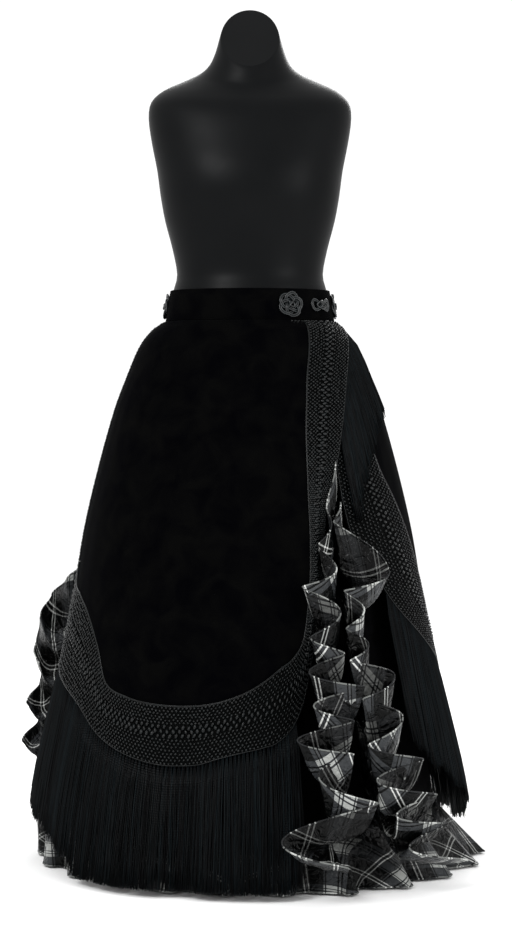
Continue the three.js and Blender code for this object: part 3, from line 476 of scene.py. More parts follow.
def fringe_silk():
    """Long silk yarn, twisted and steamed: black with a blue-green cast and a long soft glint."""
    made, tree, shader = material("silk_yarn_twisted", "#030405", 0.33, Specular_IOR_Level=0.07)
    thread = add(tree, "ShaderNodeUVMap", uv_map="thread").outputs[0]
    split = add(tree, "ShaderNodeSeparateXYZ", links={0: thread})
    shade = ramp(tree, split.outputs[0], [(0.0, "#010102"), (0.6, "#030506"), (1.0, "#0a1114")])
    tree.links.new(shade, shader.inputs["Base Color"])
    # One turn of the twist is 4 mm.
    along = add(tree, "ShaderNodeMath", {1: 2 * math.pi / 4}, {0: split.outputs[1]},
        operation="MULTIPLY")
    twist = add(tree, "ShaderNodeMath", links={0: along.outputs[0]}, operation="SINE")
    relief(tree, shader, twist.outputs[0], 0.25, 0.5)
    return made


# One repeat of the check, in millimetres.
CHECK_REPEAT = 118
# Where each stripe starts over one repeat of the check, and how much pale yarn is in it.
STRIPES = [
    (0.0, 0.06), (0.05, 0.85), (0.07, 0.02), (0.11, 0.85), (0.13, 0.06), (0.5, 0.0),
    (0.52, 0.45), (0.585, 0.0), (0.605, 0.52), (0.635, 0.0), (0.66, 0.5), (0.81, 0.0),
    (0.83, 0.45), (0.85, 0.06),
]


def checked_taffeta(name, ground, bar, crossing):
    """Yarn-dyed taffeta, woven plain: a crisp black ground with pale bars and fine lines both
    ways, so that one bar gives a grey and two a near white, with a paper-like gloss."""
    made, tree, shader = material(name, "#77797b", 0.3, Specular_IOR_Level=0.1)
    cut = add(tree, "ShaderNodeUVMap", uv_map="cut").outputs[0]
    split = add(tree, "ShaderNodeSeparateXYZ", links={0: cut})
    stripes = []
    for k in (0, 1):
        repeats = add(tree, "ShaderNodeMath", {1: 1000 / CHECK_REPEAT}, {0: split.outputs[k]},
            operation="MULTIPLY")
        within = add(tree, "ShaderNodeMath", links={0: repeats.outputs[0]}, operation="FRACT")
        stripes.append(ramp(tree, within.outputs[0], STRIPES, "CONSTANT"))
    both = add(tree, "ShaderNodeMix", {0: 0.5}, {6: stripes[0], 7: stripes[1]}, data_type="RGBA")
    colour = ramp(tree, both.outputs[2], [(0.0, "#030303"), (0.06, ground), (0.28, bar),
        (0.5, crossing), (1.0, "#f2f2f0")])
    # Deep in the gathers the cloth lies in its own shade.
    lit = add(tree, "ShaderNodeUVMap", uv_map="lit").outputs[0]
    shade = add(tree, "ShaderNodeSeparateXYZ", links={0: lit}).outputs[0]
    shaded = add(tree, "ShaderNodeMix", {0: 1.0}, {6: colour, 7: shade}, data_type="RGBA",
        blend_type="MULTIPLY")
    tree.links.new(shaded.outputs[2], shader.inputs["Base Color"])
    # The weave is 0.25 mm, drawn at 1.5 mm, over a crumple about 20 mm wide.
    place = add(tree, "ShaderNodeTexCoord").outputs["Object"]
    crumple = relief(tree, shader, noise(tree, place, 20, 2, 1.4), 8, 0.9)
    relief(tree, shader, noise(tree, place, 1.5, 1), 0.25, 0.4, crumple)
    return made


def satin_cord():
    """Rat-tail cord, satin-woven round a core: black, smooth, with a narrow bright line."""
    made, tree, shader = material("satin_cord_braided", "#0b0e0f", 0.34, Specular_IOR_Level=0.4)
    place = add(tree, "ShaderNodeTexCoord").outputs["Object"]
    shade = ramp(tree, noise(tree, place, 6, 2), [(0.3, "#07090a"), (0.7, "#12181a")])
    tree.links.new(shade, shader.inputs["Base Color"])
    relief(tree, shader, noise(tree, place, 0.8, 2), 0.2, 0.5)
    return made


def lacquered_form():
    """Moulded shell in charcoal satin lacquer: soft broad highlights over faint orange peel."""
    made, tree, shader = material("moulded_shell_satin_lacquer", "#070808", 0.42,
        Specular_IOR_Level=0.06)
    place = add(tree, "ShaderNodeTexCoord").outputs["Object"]
    shade = ramp(tree, noise(tree, place, 90, 4), [(0.3, "#060708"), (0.7, "#08090a")])
    tree.links.new(shade, shader.inputs["Base Color"])
    rough = add(tree, "ShaderNodeMapRange", {3: 0.36, 4: 0.47}, {0: noise(tree, place, 35, 3)})
    tree.links.new(rough.outputs[0], shader.inputs["Roughness"])
    relief(tree, shader, noise(tree, place, 2.5, 2), 0.12, 0.35)
    return made


def coated_steel():
    """Powder-coated steel: black, even, with the coat's fine texture."""
    made, tree, shader = material("steel_powder_coated", "#151516", 0.5)
    place = add(tree, "ShaderNodeTexCoord").outputs["Object"]
    shade = ramp(tree, noise(tree, place, 60, 3), [(0.3, "#111112"), (0.7, "#1a1a1c")])
    tree.links.new(shade, shader.inputs["Base Color"])
    relief(tree, shader, noise(tree, place, 1.2, 2), 0.15, 0.5)
    return made


VELVET_LOOK = silk_velvet()
CREPE_LOOK = matt_crepe()
KNOT_LOOK = knotted_silk()
NET_LOOK = net_ground()
FRINGE_LOOK = fringe_silk()
CHECK_LOOK = checked_taffeta("taffeta_yarn_dyed_check", "#050606", "#323436", "#9c9e9b")
# The rolled edge wears the same check in lighter tones: a painted highlight along the rim of every
# ruffle.
ROLL_HIGHLIGHT_LOOK = checked_taffeta("taffeta_rolled_edge_painted_highlight", "#1f2021", "#666866", "#b4b6b3")
CORD_LOOK = satin_cord()
FORM_LOOK = lacquered_form()
STEEL_LOOK = coated_steel()

# ---- Dress form and stand ----------------------------------------------------------------------
BELT_BOTTOM, BELT_TOP = 955, 1011
# How far the belt's face stands out from its outline.
BELT_WALL = 6
# height, half width, half depth, how far forward it lies, how far it leans to the front
FORM = [
    (742, 120, 92, 0, 0), (752, 158, 121, -1, 0), (775, 171, 132, -2, 0), (815, 173, 134, -2, 0),
    (865, 166, 131, -2, 0), (915, 154, 124, -1, 0), (955, 146.5, 118.5, 0, 0),
    (983, 141.6, 112.6, 0, 0), (1011, 137.6, 108.1, 0, 0), (1040, 131, 101, 0, 0),
    (1085, 139, 103, 3, 0), (1135, 152, 109, 8, 0), (1180, 160, 115, 13, 0),
    (1225, 166, 115, 10, 0), (1275, 176, 108, 0, 0), (1320, 182, 99, -7, 0),
    (1350, 177, 90, -10, 0.1), (1371, 154, 80, -12, 0.2), (1386, 119, 72, -12, 0.28),
    (1398, 91, 66, -10, 0.36), (1412, 74, 61, -7, 0.46), (1432, 63, 57, -4, 0.72),
    (1459, 54, 53, -2, 1.12), (1463, 51.5, 50.5, -2, 1.12),
]
FORM_SIDES = 64
# The flat caps are inset twice, in metres, to keep their rims crisp.
CAP_INSETS = (0.004, 0.02)


def form_mesh():
    levels = len(FORM) - 1
    rows = [(i, *row) for i, row in enumerate(FORM)]

    def place(u, v):
        z, wide, deep, forward, lean = (through(rows, c, v * levels) for c in range(1, 6))
        a = 2 * math.pi * u
        y = -deep * np.cos(a)
        return np.stack([wide * np.sin(a), y - forward, z + lean * y], -1)

    mesh = woven("dress_form_shell", FORM_SIDES, levels * 3, place,
        lambda u, v: np.stack([u, v], -1), ring=True)
    bm = bmesh.new()
    bm.from_mesh(mesh)
    rims = [e for e in bm.edges if e.is_boundary]
    bmesh.ops.holes_fill(bm, edges=rims, sides=FORM_SIDES)
    caps = [f for f in bm.faces if len(f.verts) > 4]
    for cap in caps:
        for rim in cap.edges:
            rim.smooth = False
        for inset in CAP_INSETS:
            bmesh.ops.inset_region(bm, faces=[cap], thickness=inset)
    bmesh.ops.recalc_face_normals(bm, faces=bm.faces)
    bm.to_mesh(mesh)
    bm.free()
    return mesh


finished("form_shell", form_mesh(), FORM_LOOK, "form_shell", "dress_form")

for node_name in ("stand_foot", "stand_collar", "stand_pole"):
    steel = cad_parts[node_name]
    steel.data.materials.clear()
    steel.data.materials.append(STEEL_LOOK)

# ---- Belt --------------------------------------------------------------------------------------
# height, half width, half depth
BELT_OUTLINE = [(BELT_BOTTOM, 146.9, 118.9), (983, 142, 113), (BELT_TOP, 138, 108.5)]
BELT_FLAT = (0.82, 0.06)
BELT_CLOTH = 3.4
PIPING = 2.2


def belt_point(angle, z, out):
    a = np.radians(angle)
    wide, deep = (through(BELT_OUTLINE, c, z) + out for c in (1, 2))
    return np.stack([wide * np.sin(a), -deep * np.cos(a), z + 0 * a], -1)


def belt_band():
    def place(u, v):
        z = mix(BELT_BOTTOM + 1.5, BELT_TOP - 1.5, v)
        crown = 1.2 * (1 - (2 * v - 1) ** 2)
        soft = 0.5 * np.sin(u * 2 * math.pi * 9 + 2 * v) * np.sin(math.pi * v)
        return belt_point(360 * u, z, BELT_WALL / 2 + crown + soft)

    def cut(u, v):
        return np.stack([u * BELT_FLAT[0], v * (BELT_TOP - BELT_BOTTOM) * MM], -1)

    mesh = woven("belt_band", 192, 12, place, cut, ring=True)
    return thickened(finished("belt_band", mesh, VELVET_LOOK, "velvet", "belt"), BELT_CLOTH)


belt = belt_band()
round_it = np.linspace(0, 360, 192, endpoint=False)
rims = [belt_point(round_it, z + 0 * round_it, BELT_WALL / 2)
    for z in (BELT_BOTTOM + PIPING, BELT_TOP - PIPING)]
piping = cord_mesh("belt_piping", rims, PIPING, closed=True)
piping = finished("belt_piping", piping, VELVET_LOOK, "velvet")

KNOT_HEIGHT = 983
KNOT_CORD = 1.5
# Where each knot and link lies round the belt.
ROSETTES = {
    "rosette_front_left": 28.5, "rosette_side_left": 90, "rosette_back_left": 150,
    "rosette_back_right": 210, "rosette_side_right": 268,
}
LINKS = {"link_front_left": 57, "link_side_left": 120, "link_back": 180, "link_side_right": 239}


def on_belt(flat, angle, seat):
    """Bends points drawn round their own middle, with z away from the belt, on to the belt."""
    ends = [belt_point(angle + half, KNOT_HEIGHT, BELT_WALL) for half in (-0.5, 0.5)]
    per_turn = np.linalg.norm(ends[1] - ends[0])
    z = KNOT_HEIGHT + flat[:, 1]
    return belt_point(angle + flat[:, 0] / per_turn, z, BELT_WALL + seat + flat[:, 2])


def beside(path, gap):
    """Two paths, one each side of a closed flat one."""
    along = np.roll(path, -1, 0) - np.roll(path, 1, 0)
    side = unit(np.stack([-along[:, 1], along[:, 0], 0 * along[:, 0]], -1))
    return [path + side * gap / 2, path - side * gap / 2]


def rosette_paths():
    """A three-lead, five-bight Turk's head laid flat, its cord doubled, round a small button."""
    t = np.linspace(0, 6 * math.pi, 300, endpoint=False)
    swing = 5 * t / 3
    radius = 14.2 + 6.4 * np.cos(swing)
    path = np.stack([radius * np.cos(t), radius * np.sin(t), 1.7 * np.sin(2 * swing)], -1)
    s = np.linspace(0, 2 * math.pi, 90, endpoint=False)
    button = [4.6 * np.sin(2 * s), 4.6 * np.sin(3 * s + 0.6), 2.8 + 1.4 * np.cos(5 * s)]
    return beside(path, 3.0) + [np.stack(button, -1)]


def link_paths():
    """A long figure of eight, its cord doubled, over a ring and a small button."""
    t = np.linspace(0, 2 * math.pi, 160, endpoint=False)
    path = np.stack([22 * np.cos(t), 8.8 * np.sin(2 * t), 1.5 * np.sin(t)], -1)
    inner = np.stack([12 * np.cos(t), 7 * np.sin(t), 2.4 + 1.2 * np.cos(3 * t)], -1)
    button = [4.2 * np.sin(2 * t), 4.2 * np.sin(3 * t + 0.6), 3.4 + 1.2 * np.cos(5 * t)]
    return beside(path, 2.8) + [inner, np.stack(button, -1)]


for names, paths, seat in ((ROSETTES, rosette_paths(), 2.6), (LINKS, link_paths(), 2.4)):
    for name, angle in names.items():
        bent = [on_belt(path, angle, seat) for path in paths]
        mesh = cord_mesh(name + "_cord", bent, KNOT_CORD, closed=True)
        finished(name + "_cord", mesh, CORD_LOOK, "passementerie", name)

# ---- Base skirt --------------------------------------------------------------------------------
def base_place(u, v):
    angle = 360 * u - 180
    z = mix(WAIST, BASE_HEM, v**1.25)
    gathers = np.sin(np.radians(angle) * 31 + 1.1 * np.sin(np.radians(angle) * 5))
    soft = 1.3 * gathers * smoothstep(WAIST - z, 4, 60) * smoothstep(z, BASE_HEM, 420)
    return hang(angle, z, base_out(angle, z) + soft - CREPE / 2, 0)


BASE_FLAT = (2.55, 0.93)
base_mesh = woven("base_skirt_cloth", 288, 110, base_place,
    lambda u, v: np.stack([u * BASE_FLAT[0], v * BASE_FLAT[1]], -1), ring=True)
base = finished("base_skirt_cloth", base_mesh, CREPE_LOOK, "base_cloth", "base_skirt")
thickened(base, CREPE)

# ---- Velvet panels -----------------------------------------------------------------------------
def velvet_panel(name, node_name, edge, corners, lift, columns, rows, flat):
    def place(u, v):
        down = v**1.2
        angle, z = panel_point(edge, corners, u, down)
        ease = np.sin(np.radians(angle) * 22 + 0.8) * np.sin(np.radians(angle) * 9.3)
        return hang(angle, z, lift(z) + 0.5 * ease * smoothstep(WAIST - z, 20, 200) - VELVET / 2)

    mesh = woven(name, columns, rows, place, lambda u, v: np.stack([u * flat[0], v * flat[1]], -1))
    piece = thickened(finished(name, mesh, VELVET_LOOK, "velvet", node_name), VELVET)


# ---- Knotted borders ---------------------------------------------------------------------------
# Rows of knots by their share of the way across, and how far apart knots are along a row.
KNOT_PITCH = 7
FINE_ROWS = [0.05, 0.1, 0.15, 0.2, 0.25, 0.3, 0.575, 0.63, 0.685, 0.74, 0.795, 0.85, 0.905, 0.955]
LARGE_ROWS = [0.365, 0.435, 0.505]
LARGE_PITCH = 10.5
EDGING_ROWS = [0.006, 0.022, 0.985]
# How much of a station is left free at each end of a border.
JOIN = 0.008


def knot_frames(edge, lift, at, across):
    """Where knots lie on a border, with the directions along it, across it and away from it."""
    middle = border_point(edge, lift, at, across, NET)
    before, after = (border_point(edge, lift, at + step, across) for step in (-0.02, 0.02))
    inner, outer = (border_point(edge, lift, at, across + step) for step in (-0.02, 0.02))
    along, over = unit(after - before), outer - inner
    away = unit(np.cross(along, over))
    middle_out = np.stack([middle[:, 0], middle[:, 1], 0 * middle[:, 0]], -1)
    flip = np.sign(np.sum(away * middle_out, -1, keepdims=True))
    return middle, along, unit(over), away * flip


def knots(name, edge, lift, start, end, rng):
    """Rows of almond-shaped knots, fine at both sides of the border and large along its middle."""
    at, across, size, lean = [], [], [], []
    for rows, pitch, dims, tilt in (
        (FINE_ROWS, KNOT_PITCH, (2.15, 2.75, 1.7), 0.5),
        (LARGE_ROWS, LARGE_PITCH, (3.1, 5.4, 2.6), 0.32),
    ):
        for j, row in enumerate(rows):
            places = spaced(lambda s: border_point(edge, lift, s, 0.5), start, end, pitch,
                0.5 * (j % 2))
            places = places[places < end]
            at.append(places)
            across.append(row + 0.006 * rng.standard_normal(len(places)))
            size.append(np.tile(dims, (len(places), 1)) * rng.uniform(0.86, 1.12, (len(places), 1)))
            lean.append(tilt * (1 if j % 2 else -1) + 0.12 * rng.standard_normal(len(places)))
    at, across, size, lean = (np.concatenate(x) for x in (at, across, size, lean))
    middle, along, over, away = knot_frames(edge, lift, at, across)
    a = along * np.cos(lean)[:, None] + over * np.sin(lean)[:, None]
    b = over * np.cos(lean)[:, None] - along * np.sin(lean)[:, None]

    def place(form):
        x, y, z = form.T
        y = np.sign(y) * np.abs(y) ** 1.15  # drawn to points at its ends
        points = middle[:, None] + (
            a[:, None] * (x[None, :, None] * size[:, None, :1])
            + b[:, None] * (y[None, :, None] * size[:, None, 1:2])
            + away[:, None] * ((z[None, :, None] * 1 + 0.3) * size[:, None, 2:])
        )
        thread = np.broadcast_to(np.stack([x, y], -1), (*points.shape[:2], 2))
        return points, thread

    return finished(name, tiled(name, bead_form(), place), KNOT_LOOK, "knotted_band")


def border(name, edge, lift, start, end, seed):
    first, last = start + JOIN, end - JOIN
    middle = border_point(edge, lift, np.linspace(first, last, 400), 0.5)
    length = np.linalg.norm(np.diff(middle, axis=0), axis=-1).sum()
    width = np.mean(border_width(edge, np.linspace(first, last, 60)))

    def place(u, v):
        return border_point(edge, lift, mix(first, last, u), mix(0.004, 0.996, v), -NET / 2)

    def cut(u, v):
        return np.stack([u * length * MM, v * width * MM], -1)

    mesh = woven(name + "_net", max(int(length / 6), 20), 22, place, cut)
    net = thickened(finished(name + "_net", mesh, NET_LOOK, "knotted_band", name), NET)
    rng = np.random.default_rng(seed)
    tied = knots(name + "_knots", edge, lift, first, last, rng)
    steps = np.linspace(first, last, max(int(length / 5), 30))
    runs = [border_point(edge, lift, steps, a, NET + 0.2) for a in EDGING_ROWS]
    edging = cord_mesh(name + "_edging", runs, 0.8, round_steps=1)
    edging = finished(name + "_edging", edging, KNOT_LOOK, "knotted_band")
    return net, [tied, edging], (width * MM, length * MM)


apron_end, back_end = len(APRON_EDGE) - 1, len(BACK_EDGE) - 1
APRON, BACK = (APRON_EDGE, apron_lift), (BACK_EDGE, back_lift)
# name, edge and lift, first and last station
BORDERS = [
    ("border_apron_left", *APRON, 0, 10), ("border_apron_front", *APRON, 10, APRON_MITRE),
    ("border_apron_right", *APRON, APRON_MITRE, apron_end), ("border_back_left", *BACK, 0, 12),
    ("border_back_hem", *BACK, 12, 20), ("border_back_right", *BACK, 20, back_end),
]

# ---- Fringe ------------------------------------------------------------------------------------
# Bunches of this many yarns are tied one pitch apart. HEAD is how deep the tied part is.
ROOT_PITCH = 7
YARNS_AT_ROOT = 13
YARN = 0.95
HEAD = 10
# Each bunch hangs in three layers.
LAYERS = (0.9, -0.6, -2.0)


def fringe(name, edge, lift, start, end, length, steps, seed):
    """Yarns tied in doubled bunches at the border's outer edge that hang straight down."""
    rng = np.random.default_rng(seed)
    roots = spaced(lambda s: border_point(edge, lift, s, 1.0), start, end, ROOT_PITCH)
    roots = np.repeat(roots, YARNS_AT_ROOT)
    count = len(roots)
    order = np.tile(np.arange(YARNS_AT_ROOT), count // YARNS_AT_ROOT)
    root = border_point(edge, lift, roots, 1.0)
    angle, high = hang_angle(root), root[:, 2] + 2
    off = lift(high) - station(edge, roots)[4] - 0.2
    uneven = 1 + 0.02 * np.sin(roots * 9.1) + 0.018 * rng.standard_normal(count)
    low = np.maximum(high - length * uneven, FRINGE_TIPS + rng.uniform(0, 5, count))
    spread = (order - (YARNS_AT_ROOT - 1) / 2) / YARNS_AT_ROOT * ROOT_PITCH * 1.15
    spread = spread + rng.normal(0, 0.5, count)
    layer = np.array(LAYERS)[order % len(LAYERS)] + rng.normal(0, 0.3, count)
    sway, phase = rng.normal(0, 1.6, count), rng.uniform(0, 6.3, count)
    drift = rng.normal(0, 2.2, count)
    tint = rng.uniform(0, 1, count)

    def place(form):
        w = form[:, 2][None]
        z = mix(high[:, None], low[:, None], w)
        fall = high[:, None] - z
        opened = smoothstep(fall, 0.3 * HEAD, 3.5 * HEAD)
        bunch = 2.6 * np.sin(roots * 5.3)[:, None] * smoothstep(fall, 30, 190)
        side = (spread[:, None] * mix(0.35, 1, opened) + bunch
            + sway[:, None] * np.sin(w * 4 + phase[:, None]) * w + drift[:, None] * w**1.5)
        reach = off[:, None] + layer[:, None] * mix(0.4, 1, opened) + 5 * w
        thick = YARN * mix(1.0, 0.7, w**3)
        around = angle[:, None] + (side + form[:, 0][None] * thick) / per_degree(angle[:, None], z)
        points = hang(around, z, reach + form[:, 1][None] * thick)
        thread = np.stack([np.broadcast_to(tint[:, None], z.shape), fall], -1)
        return points, thread

    return finished(name, tiled(name, strand_form(steps), place), FRINGE_LOOK, "fringe_silk")


# name, edge and lift, first and last station, length of the yarns, steps down each
FRINGES = [
    ("fringe_apron_left", *APRON, 0.4, 5.2, 150, 5),
    ("fringe_apron_front", *APRON, 11, 20, 250, 6),
    ("fringe_apron_right", *APRON, 20, 25, 236, 6),
    ("fringe_apron_side", *APRON, 27.3, apron_end - 0.4, 200, 6),
    ("fringe_back_left", *BACK, 9.7, 13, 240, 7),
    ("fringe_back_hem", *BACK, 13, 19, 204, 6),
    ("fringe_back_right", *BACK, 19, 22.4, 204, 6),
]
FRINGE_SEED, BORDER_SEED = 40, 20
for k, (name, edge, lift, start, end, length, steps) in enumerate(FRINGES):
    piece = fringe(name + "_yarn", edge, lift, start, end, length, steps, FRINGE_SEED + k)
    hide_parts(name)

for k, (name, edge, lift, start, end) in enumerate(BORDERS):
    net, trims, flat = border(name, edge, lift, start, end, BORDER_SEED + k)

velvet_panel("velvet_apron_cloth", "velvet_apron", APRON_EDGE, APRON_CORNERS, apron_lift, 150, 90,
    (0.95, 0.65))
velvet_panel("velvet_back_cloth", "velvet_back", BACK_EDGE, BACK_CORNERS, back_lift, 190, 90,
    (1.15, 0.65))

# ---- Ruffles -----------------------------------------------------------------------------------
STANDING = 0.8  # how soon a ruffle's cloth stands out from its seam,
SWAY = 0.95  # swings to the side
RISE = 1.9  # and turns up
FALL = 2  # how many times the seam table's fall its belly sinks
BELLY = 1.25  # where between seam and rim it sinks the farthest
CROWD = 0.75  # how its gathers spread down the seam
FULL_BOW = 10
CUP = 5  # how far a front rim of that bow stands before its mouth's middle
LATENESS = 0.4  # and how much sooner it falls
SEAM_SEAT = 0.5  # how far the seam lies from the base skirt
GATHER_PITCH = 13
GATHER_HIGH = 3.6  # how high the creases at the gathers stand
CREASE_HIGH = 3.8  # and those that cross the cloth
ROLL = 1.5  # the radius of the rolled free edge
RUFFLE_DEPTH = 150
RUFFLE_CURVE = 200  # the radius that the strip's free edge is cut to
COLUMNS_A_TURN = 36
# Each turn of the free edge: height, swing to the side, distance out, and how the edge bows on its
# way to the next turn: forward and falling soon, as a mouth's front rim, or, negative, behind.
OUTER_TURNS = [
    (709, -4, 10, 3), (637, -24, 12, -6), (606, -16, 19, 6), (572, -40, 28, -8),
    (532, -11, 41, 12), (506, -63, 50, -12), (463, -5, 55, 9), (425, -52, 60, 5),
    (397, -3, 66, -10), (371, -57, 72, 15), (345, 20, 81, -10), (319, -54, 81, 10),
    (293, 1, 85, -7), (267, -79, 86, 14), (241, -2, 84, -12), (211, -54, 87, 16),
    (163, 26, 92, -13), (110, -108, 92, 12), (62, -14, 80, 8),
]
INNER_TURNS = [
    (640, -3, 4, 3), (609, -33, 25, -17), (524, 37, 56, 15), (498, -45, 56, -8),
    (468, -19, 60, 8), (437, -53, 60, -9), (411, -22, 61, 9), (385, -58, 64, -13),
    (359, 7, 72, 13), (324, -52, 70, -10), (293, 5, 78, 11), (252, -58, 75, 10),
    (222, 24, 86, -11), (196, -57, 80, 12), (164, 36, 89, -11), (138, -36, 82, 13),
    (116, 48, 91, -9), (86, -22, 83, 9), (48, 86, 88, 5),
]
FAR_TURNS = [
    (536, 0, -8, 4), (485, 24, 41, -6), (452, -14, 80, 7), (417, 20, 78, -6), (366, -22, 96, 9),
    (330, 20, 62, -8), (286, -20, 68, 8), (257, 22, 68, -8), (216, -20, 54, 8),
    (187, 20, 62, -7), (139, -18, 38, 6),
]
# height, angle and fall down the seam
CASCADES = {
    "cascade_left_outer": dict(
        seam=[
            (668, 33.8, 10), (600, 31.6, 10), (540, 29.6, 10), (480, 27.2, 12), (400, 24.8, 16),
            (250, 23, 18), (150, 22.4, 24), (104, 22, 18),
        ],
        turns=OUTER_TURNS,
    ),
    "cascade_left_inner": dict(
        seam=[
            (590, 34, 8), (540, 34, 12), (440, 34.5, 16), (300, 35.5, 28), (180, 36.5, 30),
            (104, 37, 18),
        ],
        turns=INNER_TURNS,
    ),
    "cascade_right": dict(
        seam=[(500, -108, 14), (420, -107, 24), (258, -105, 36)],
        turns=FAR_TURNS,
    ),
}


def cascade_point(shape, along, t):
    """0 along is the top of the cascade; t runs from the seam to the free edge."""
    turns = np.array(shape["turns"], float)
    seam = shape["seam"]
    at = along * (len(turns) - 1)
    i = np.clip(np.floor(at), 0, len(turns) - 2).astype(int)
    f = at - i
    swung = (1 - np.cos(math.pi * f)) / 2
    bow = turns[i, 3]
    late = 1 + np.abs(bow) / FULL_BOW * LATENESS
    fallen = np.where(bow > 0, 1 - (1 - f) ** late, f**late)
    edge_z = mix(turns[i, 0], turns[i + 1, 0], fallen)
    side = mix(turns[i, 1], turns[i + 1, 1], swung)
    forward = CUP * bow / FULL_BOW * np.sin(math.pi * f) ** 2
    reach = mix(turns[i, 2], turns[i + 1, 2], swung) + forward
    seam_z = mix(seam[0][0], seam[-1][0], along**CROWD)
    fall = FALL * through(seam, 2, seam_z) * np.sin(math.pi * t**BELLY)
    z = mix(seam_z, edge_z, t**RISE) - fall
    angle = through(seam, 1, seam_z)
    out = mix(base_out(angle, z) + SEAM_SEAT, reach, t**STANDING)
    return hang(angle + side * t**SWAY / per_degree(angle, z), z, out, 0)


def cascade_shade(shape, along, t):
    """How much light reaches the cloth: little near the seam and on the flank behind a mouth."""
    turns = np.array(shape["turns"], float)
    at = along * (len(turns) - 1)
    i = np.clip(np.floor(at), 0, len(turns) - 2).astype(int)
    open_to_light = np.clip(0.5 + turns[i, 3] * np.sin(math.pi * (at - i)) / 12, 0, 1)
    return mix(mix(0.02, 0.22, t), mix(0.25, 1.0, t), open_to_light)


def ruffle(name, node_name, point, lit, columns, rows):
    """A strip cut on a curve and gathered to its seam, with its free edge rolled."""
    fine = np.linspace(0, 1, 4000)
    run = np.linalg.norm(np.diff(point(fine, 1 + 0 * fine), axis=0), axis=-1)
    length = np.concatenate([[0], np.cumsum(run)])

    def cut(u, v):
        around = np.interp(u, fine, length) / RUFFLE_CURVE
        radius = (RUFFLE_CURVE - RUFFLE_DEPTH * (1 - v)) * MM
        return np.stack([radius * np.cos(around), radius * np.sin(around)], -1)

    def rolled(u, v):
        """The free edge turned over on itself."""
        step = 0.15 / columns
        edge = point(u, 1 + 0 * u)
        inward = unit(edge - point(u, 0.96 + 0 * u))
        before, after = (point(np.clip(u + d, 0, 1), 1 + 0 * u) for d in (-step, step))
        away = unit(np.cross(after - before, inward))
        a = 2 * math.pi * v
        return edge + ROLL * (np.cos(a)[:, None] * inward + np.sin(a)[:, None] * away)

    def crumpled(u, v):
        """Creases that fan out from the gathers, and a few that cross the face of the cloth."""
        step = 0.3 / columns
        here = point(u, v)
        along = point(np.clip(u + step, 0, 1), v) - point(np.clip(u - step, 0, 1), v)
        out = point(u, np.clip(v + 0.02, 0, 1)) - point(u, np.clip(v - 0.02, 0, 1))
        run = np.interp(u, fine, length)
        fan = 1 - np.abs(np.sin(run / GATHER_PITCH * math.pi + 1.6 * np.sin(run / 47)))
        cross = 1 - np.abs(np.sin(run / 29 + 5.5 * v + 1.3 * np.sin(run / 83)))
        high = GATHER_HIGH * fan**1.5 * (1 - v) ** 0.8
        high = high + CREASE_HIGH * cross**3 * np.sin(math.pi * v)
        return here + high[:, None] * smoothstep(v, 0, 0.15)[:, None] * unit(np.cross(along, out))

    ring = node_name == "flounce_hem"
    mesh = woven(name, columns, rows, point if ring else crumpled, cut, ring=ring, lit=lit)
    piece = thickened(finished(name, mesh, CHECK_LOOK, "checked_taffeta", node_name), TAFFETA)
    # The roll wears the lighter copy of the check, a painted highlight along the rim, and its
    # painted shade is kept lighter than the cloth's.
    roll_mesh = woven(name + "_roll", columns, 6, rolled, lambda u, v: cut(u, 1 + 0 * v),
        ring=True, lit=lambda u, v: mix(0.4, 1.0, lit(u, 1 + 0 * v)))
    roll = finished(name + "_roll", roll_mesh, ROLL_HIGHLIGHT_LOOK, "checked_taffeta")
    return piece, roll, length[-1]


for name, shape in CASCADES.items():
    steps = (len(shape["turns"]) - 1) * COLUMNS_A_TURN
    piece, roll, edge = ruffle(name + "_cloth", name, lambda u, v, s=shape: cascade_point(s, u, v),
        lambda u, v, s=shape: cascade_shade(s, u, v), steps, 26)

# ---- Hem flounce -------------------------------------------------------------------------------
WAVES = 23
WAVE_CURL = 0.9
# angle, how far out the free edge runs, how far its waves swing
FLOUNCE_REACH = [
    (-180, -34, 14), (-130, -34, 14), (-105, -26, 17), (-70, -26, 16), (-48, -32, 14), (8, -34, 13),
    (24, -16, 17), (60, 0, 20), (84, 2, 20), (104, -28, 16), (180, -34, 14),
]


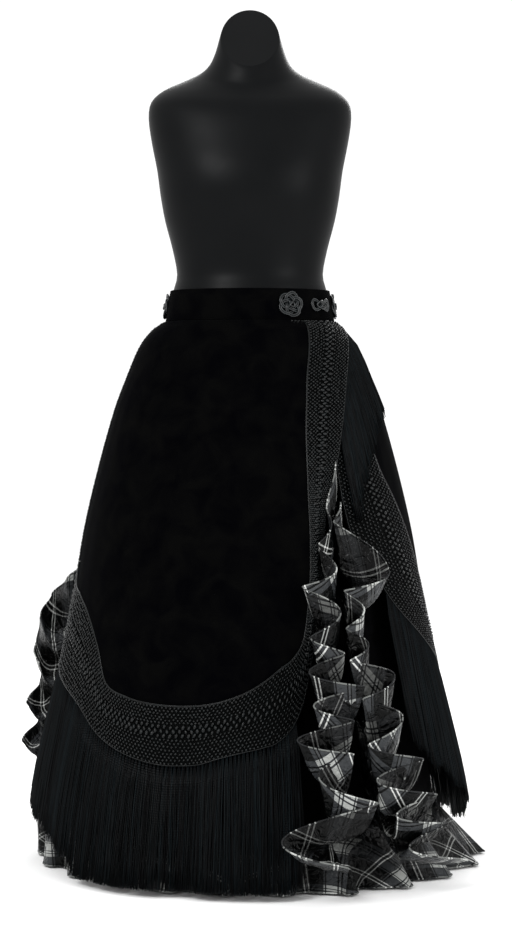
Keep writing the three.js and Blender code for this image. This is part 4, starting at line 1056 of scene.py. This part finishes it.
def flounce_point(along, t):
    angle = mix(-180, 180, along)
    at = along * WAVES * 2
    f = at - np.floor(at)
    side = np.where(np.floor(at) % 2 > 0, -1, 1)
    wave = side * np.cos(math.pi * f)
    uneven = 1 + 0.22 * np.sin(np.radians(angle * 18)) + 0.14 * np.sin(np.radians(angle * 47))
    swing = through(FLOUNCE_REACH, 2, angle) * uneven
    back = side * WAVE_CURL * 180 / WAVES * np.sin(2 * math.pi * f) / (2 * math.pi)
    z = mix(BASE_HEM - SEAM, FLOUNCE_HEM, t)
    root = base_out(angle, np.float64(BASE_HEM)) - CREPE / 2
    out = mix(root, through(FLOUNCE_REACH, 1, angle), t**0.9)
    return hang(angle + back * t, z, out + swing * wave * t**1.2, 0)


def flounce_shade(along, t):
    crest = np.cos(2 * math.pi * along * WAVES)
    return mix(0.12, mix(0.3, 1.0, (1 + crest) / 2), t)


piece, roll, edge = ruffle("flounce_hem_cloth", "flounce_hem", flounce_point, flounce_shade,
    WAVES * COLUMNS_A_TURN, 14)

# ---- Floor and light ---------------------------------------------------------------------------
def floor():
    bm = bmesh.new()
    bmesh.ops.create_grid(bm, x_segments=4, y_segments=4, size=30)
    mesh = bpy.data.meshes.new("floor")
    bm.to_mesh(mesh)
    bm.free()
    made = bpy.data.objects.new("floor", mesh)
    bpy.context.scene.collection.objects.link(made)
    mesh.materials.append(material("floor_matt_paint", "#fbfbfb", 0.9, Specular_IOR_Level=0.1)[0])


floor()


def lamp(name, place, aim, size, power):
    light = bpy.data.lights.new(name, "AREA")
    light.shape = "RECTANGLE"
    light.size, light.size_y = size
    light.energy = power
    holder = bpy.data.objects.new(name, light)
    holder.location = place
    holder.rotation_euler = (Vector(aim) - Vector(place)).to_track_quat("-Z", "Y").to_euler()
    bpy.context.scene.collection.objects.link(holder)


lamp("key", (-2.2, -3.2, 3.2), (0, 0, 0.6), (1.4, 1.4), 120)
lamp("fill", (2.9, -2.6, 1.7), (0, 0, 0.6), (1.0, 2.0), 50)
lamp("back", (0.6, 3.2, 2.6), (0, 0, 0.8), (2.4, 1.2), 60)

world = bpy.data.worlds.new("studio")
world.use_nodes = True
world.node_tree.nodes["Background"].inputs["Color"].default_value = (1, 1, 1, 1)
world.node_tree.nodes["Background"].inputs["Strength"].default_value = 1.1
bpy.context.scene.world = world
bpy.context.scene.view_settings.view_transform = "Standard"
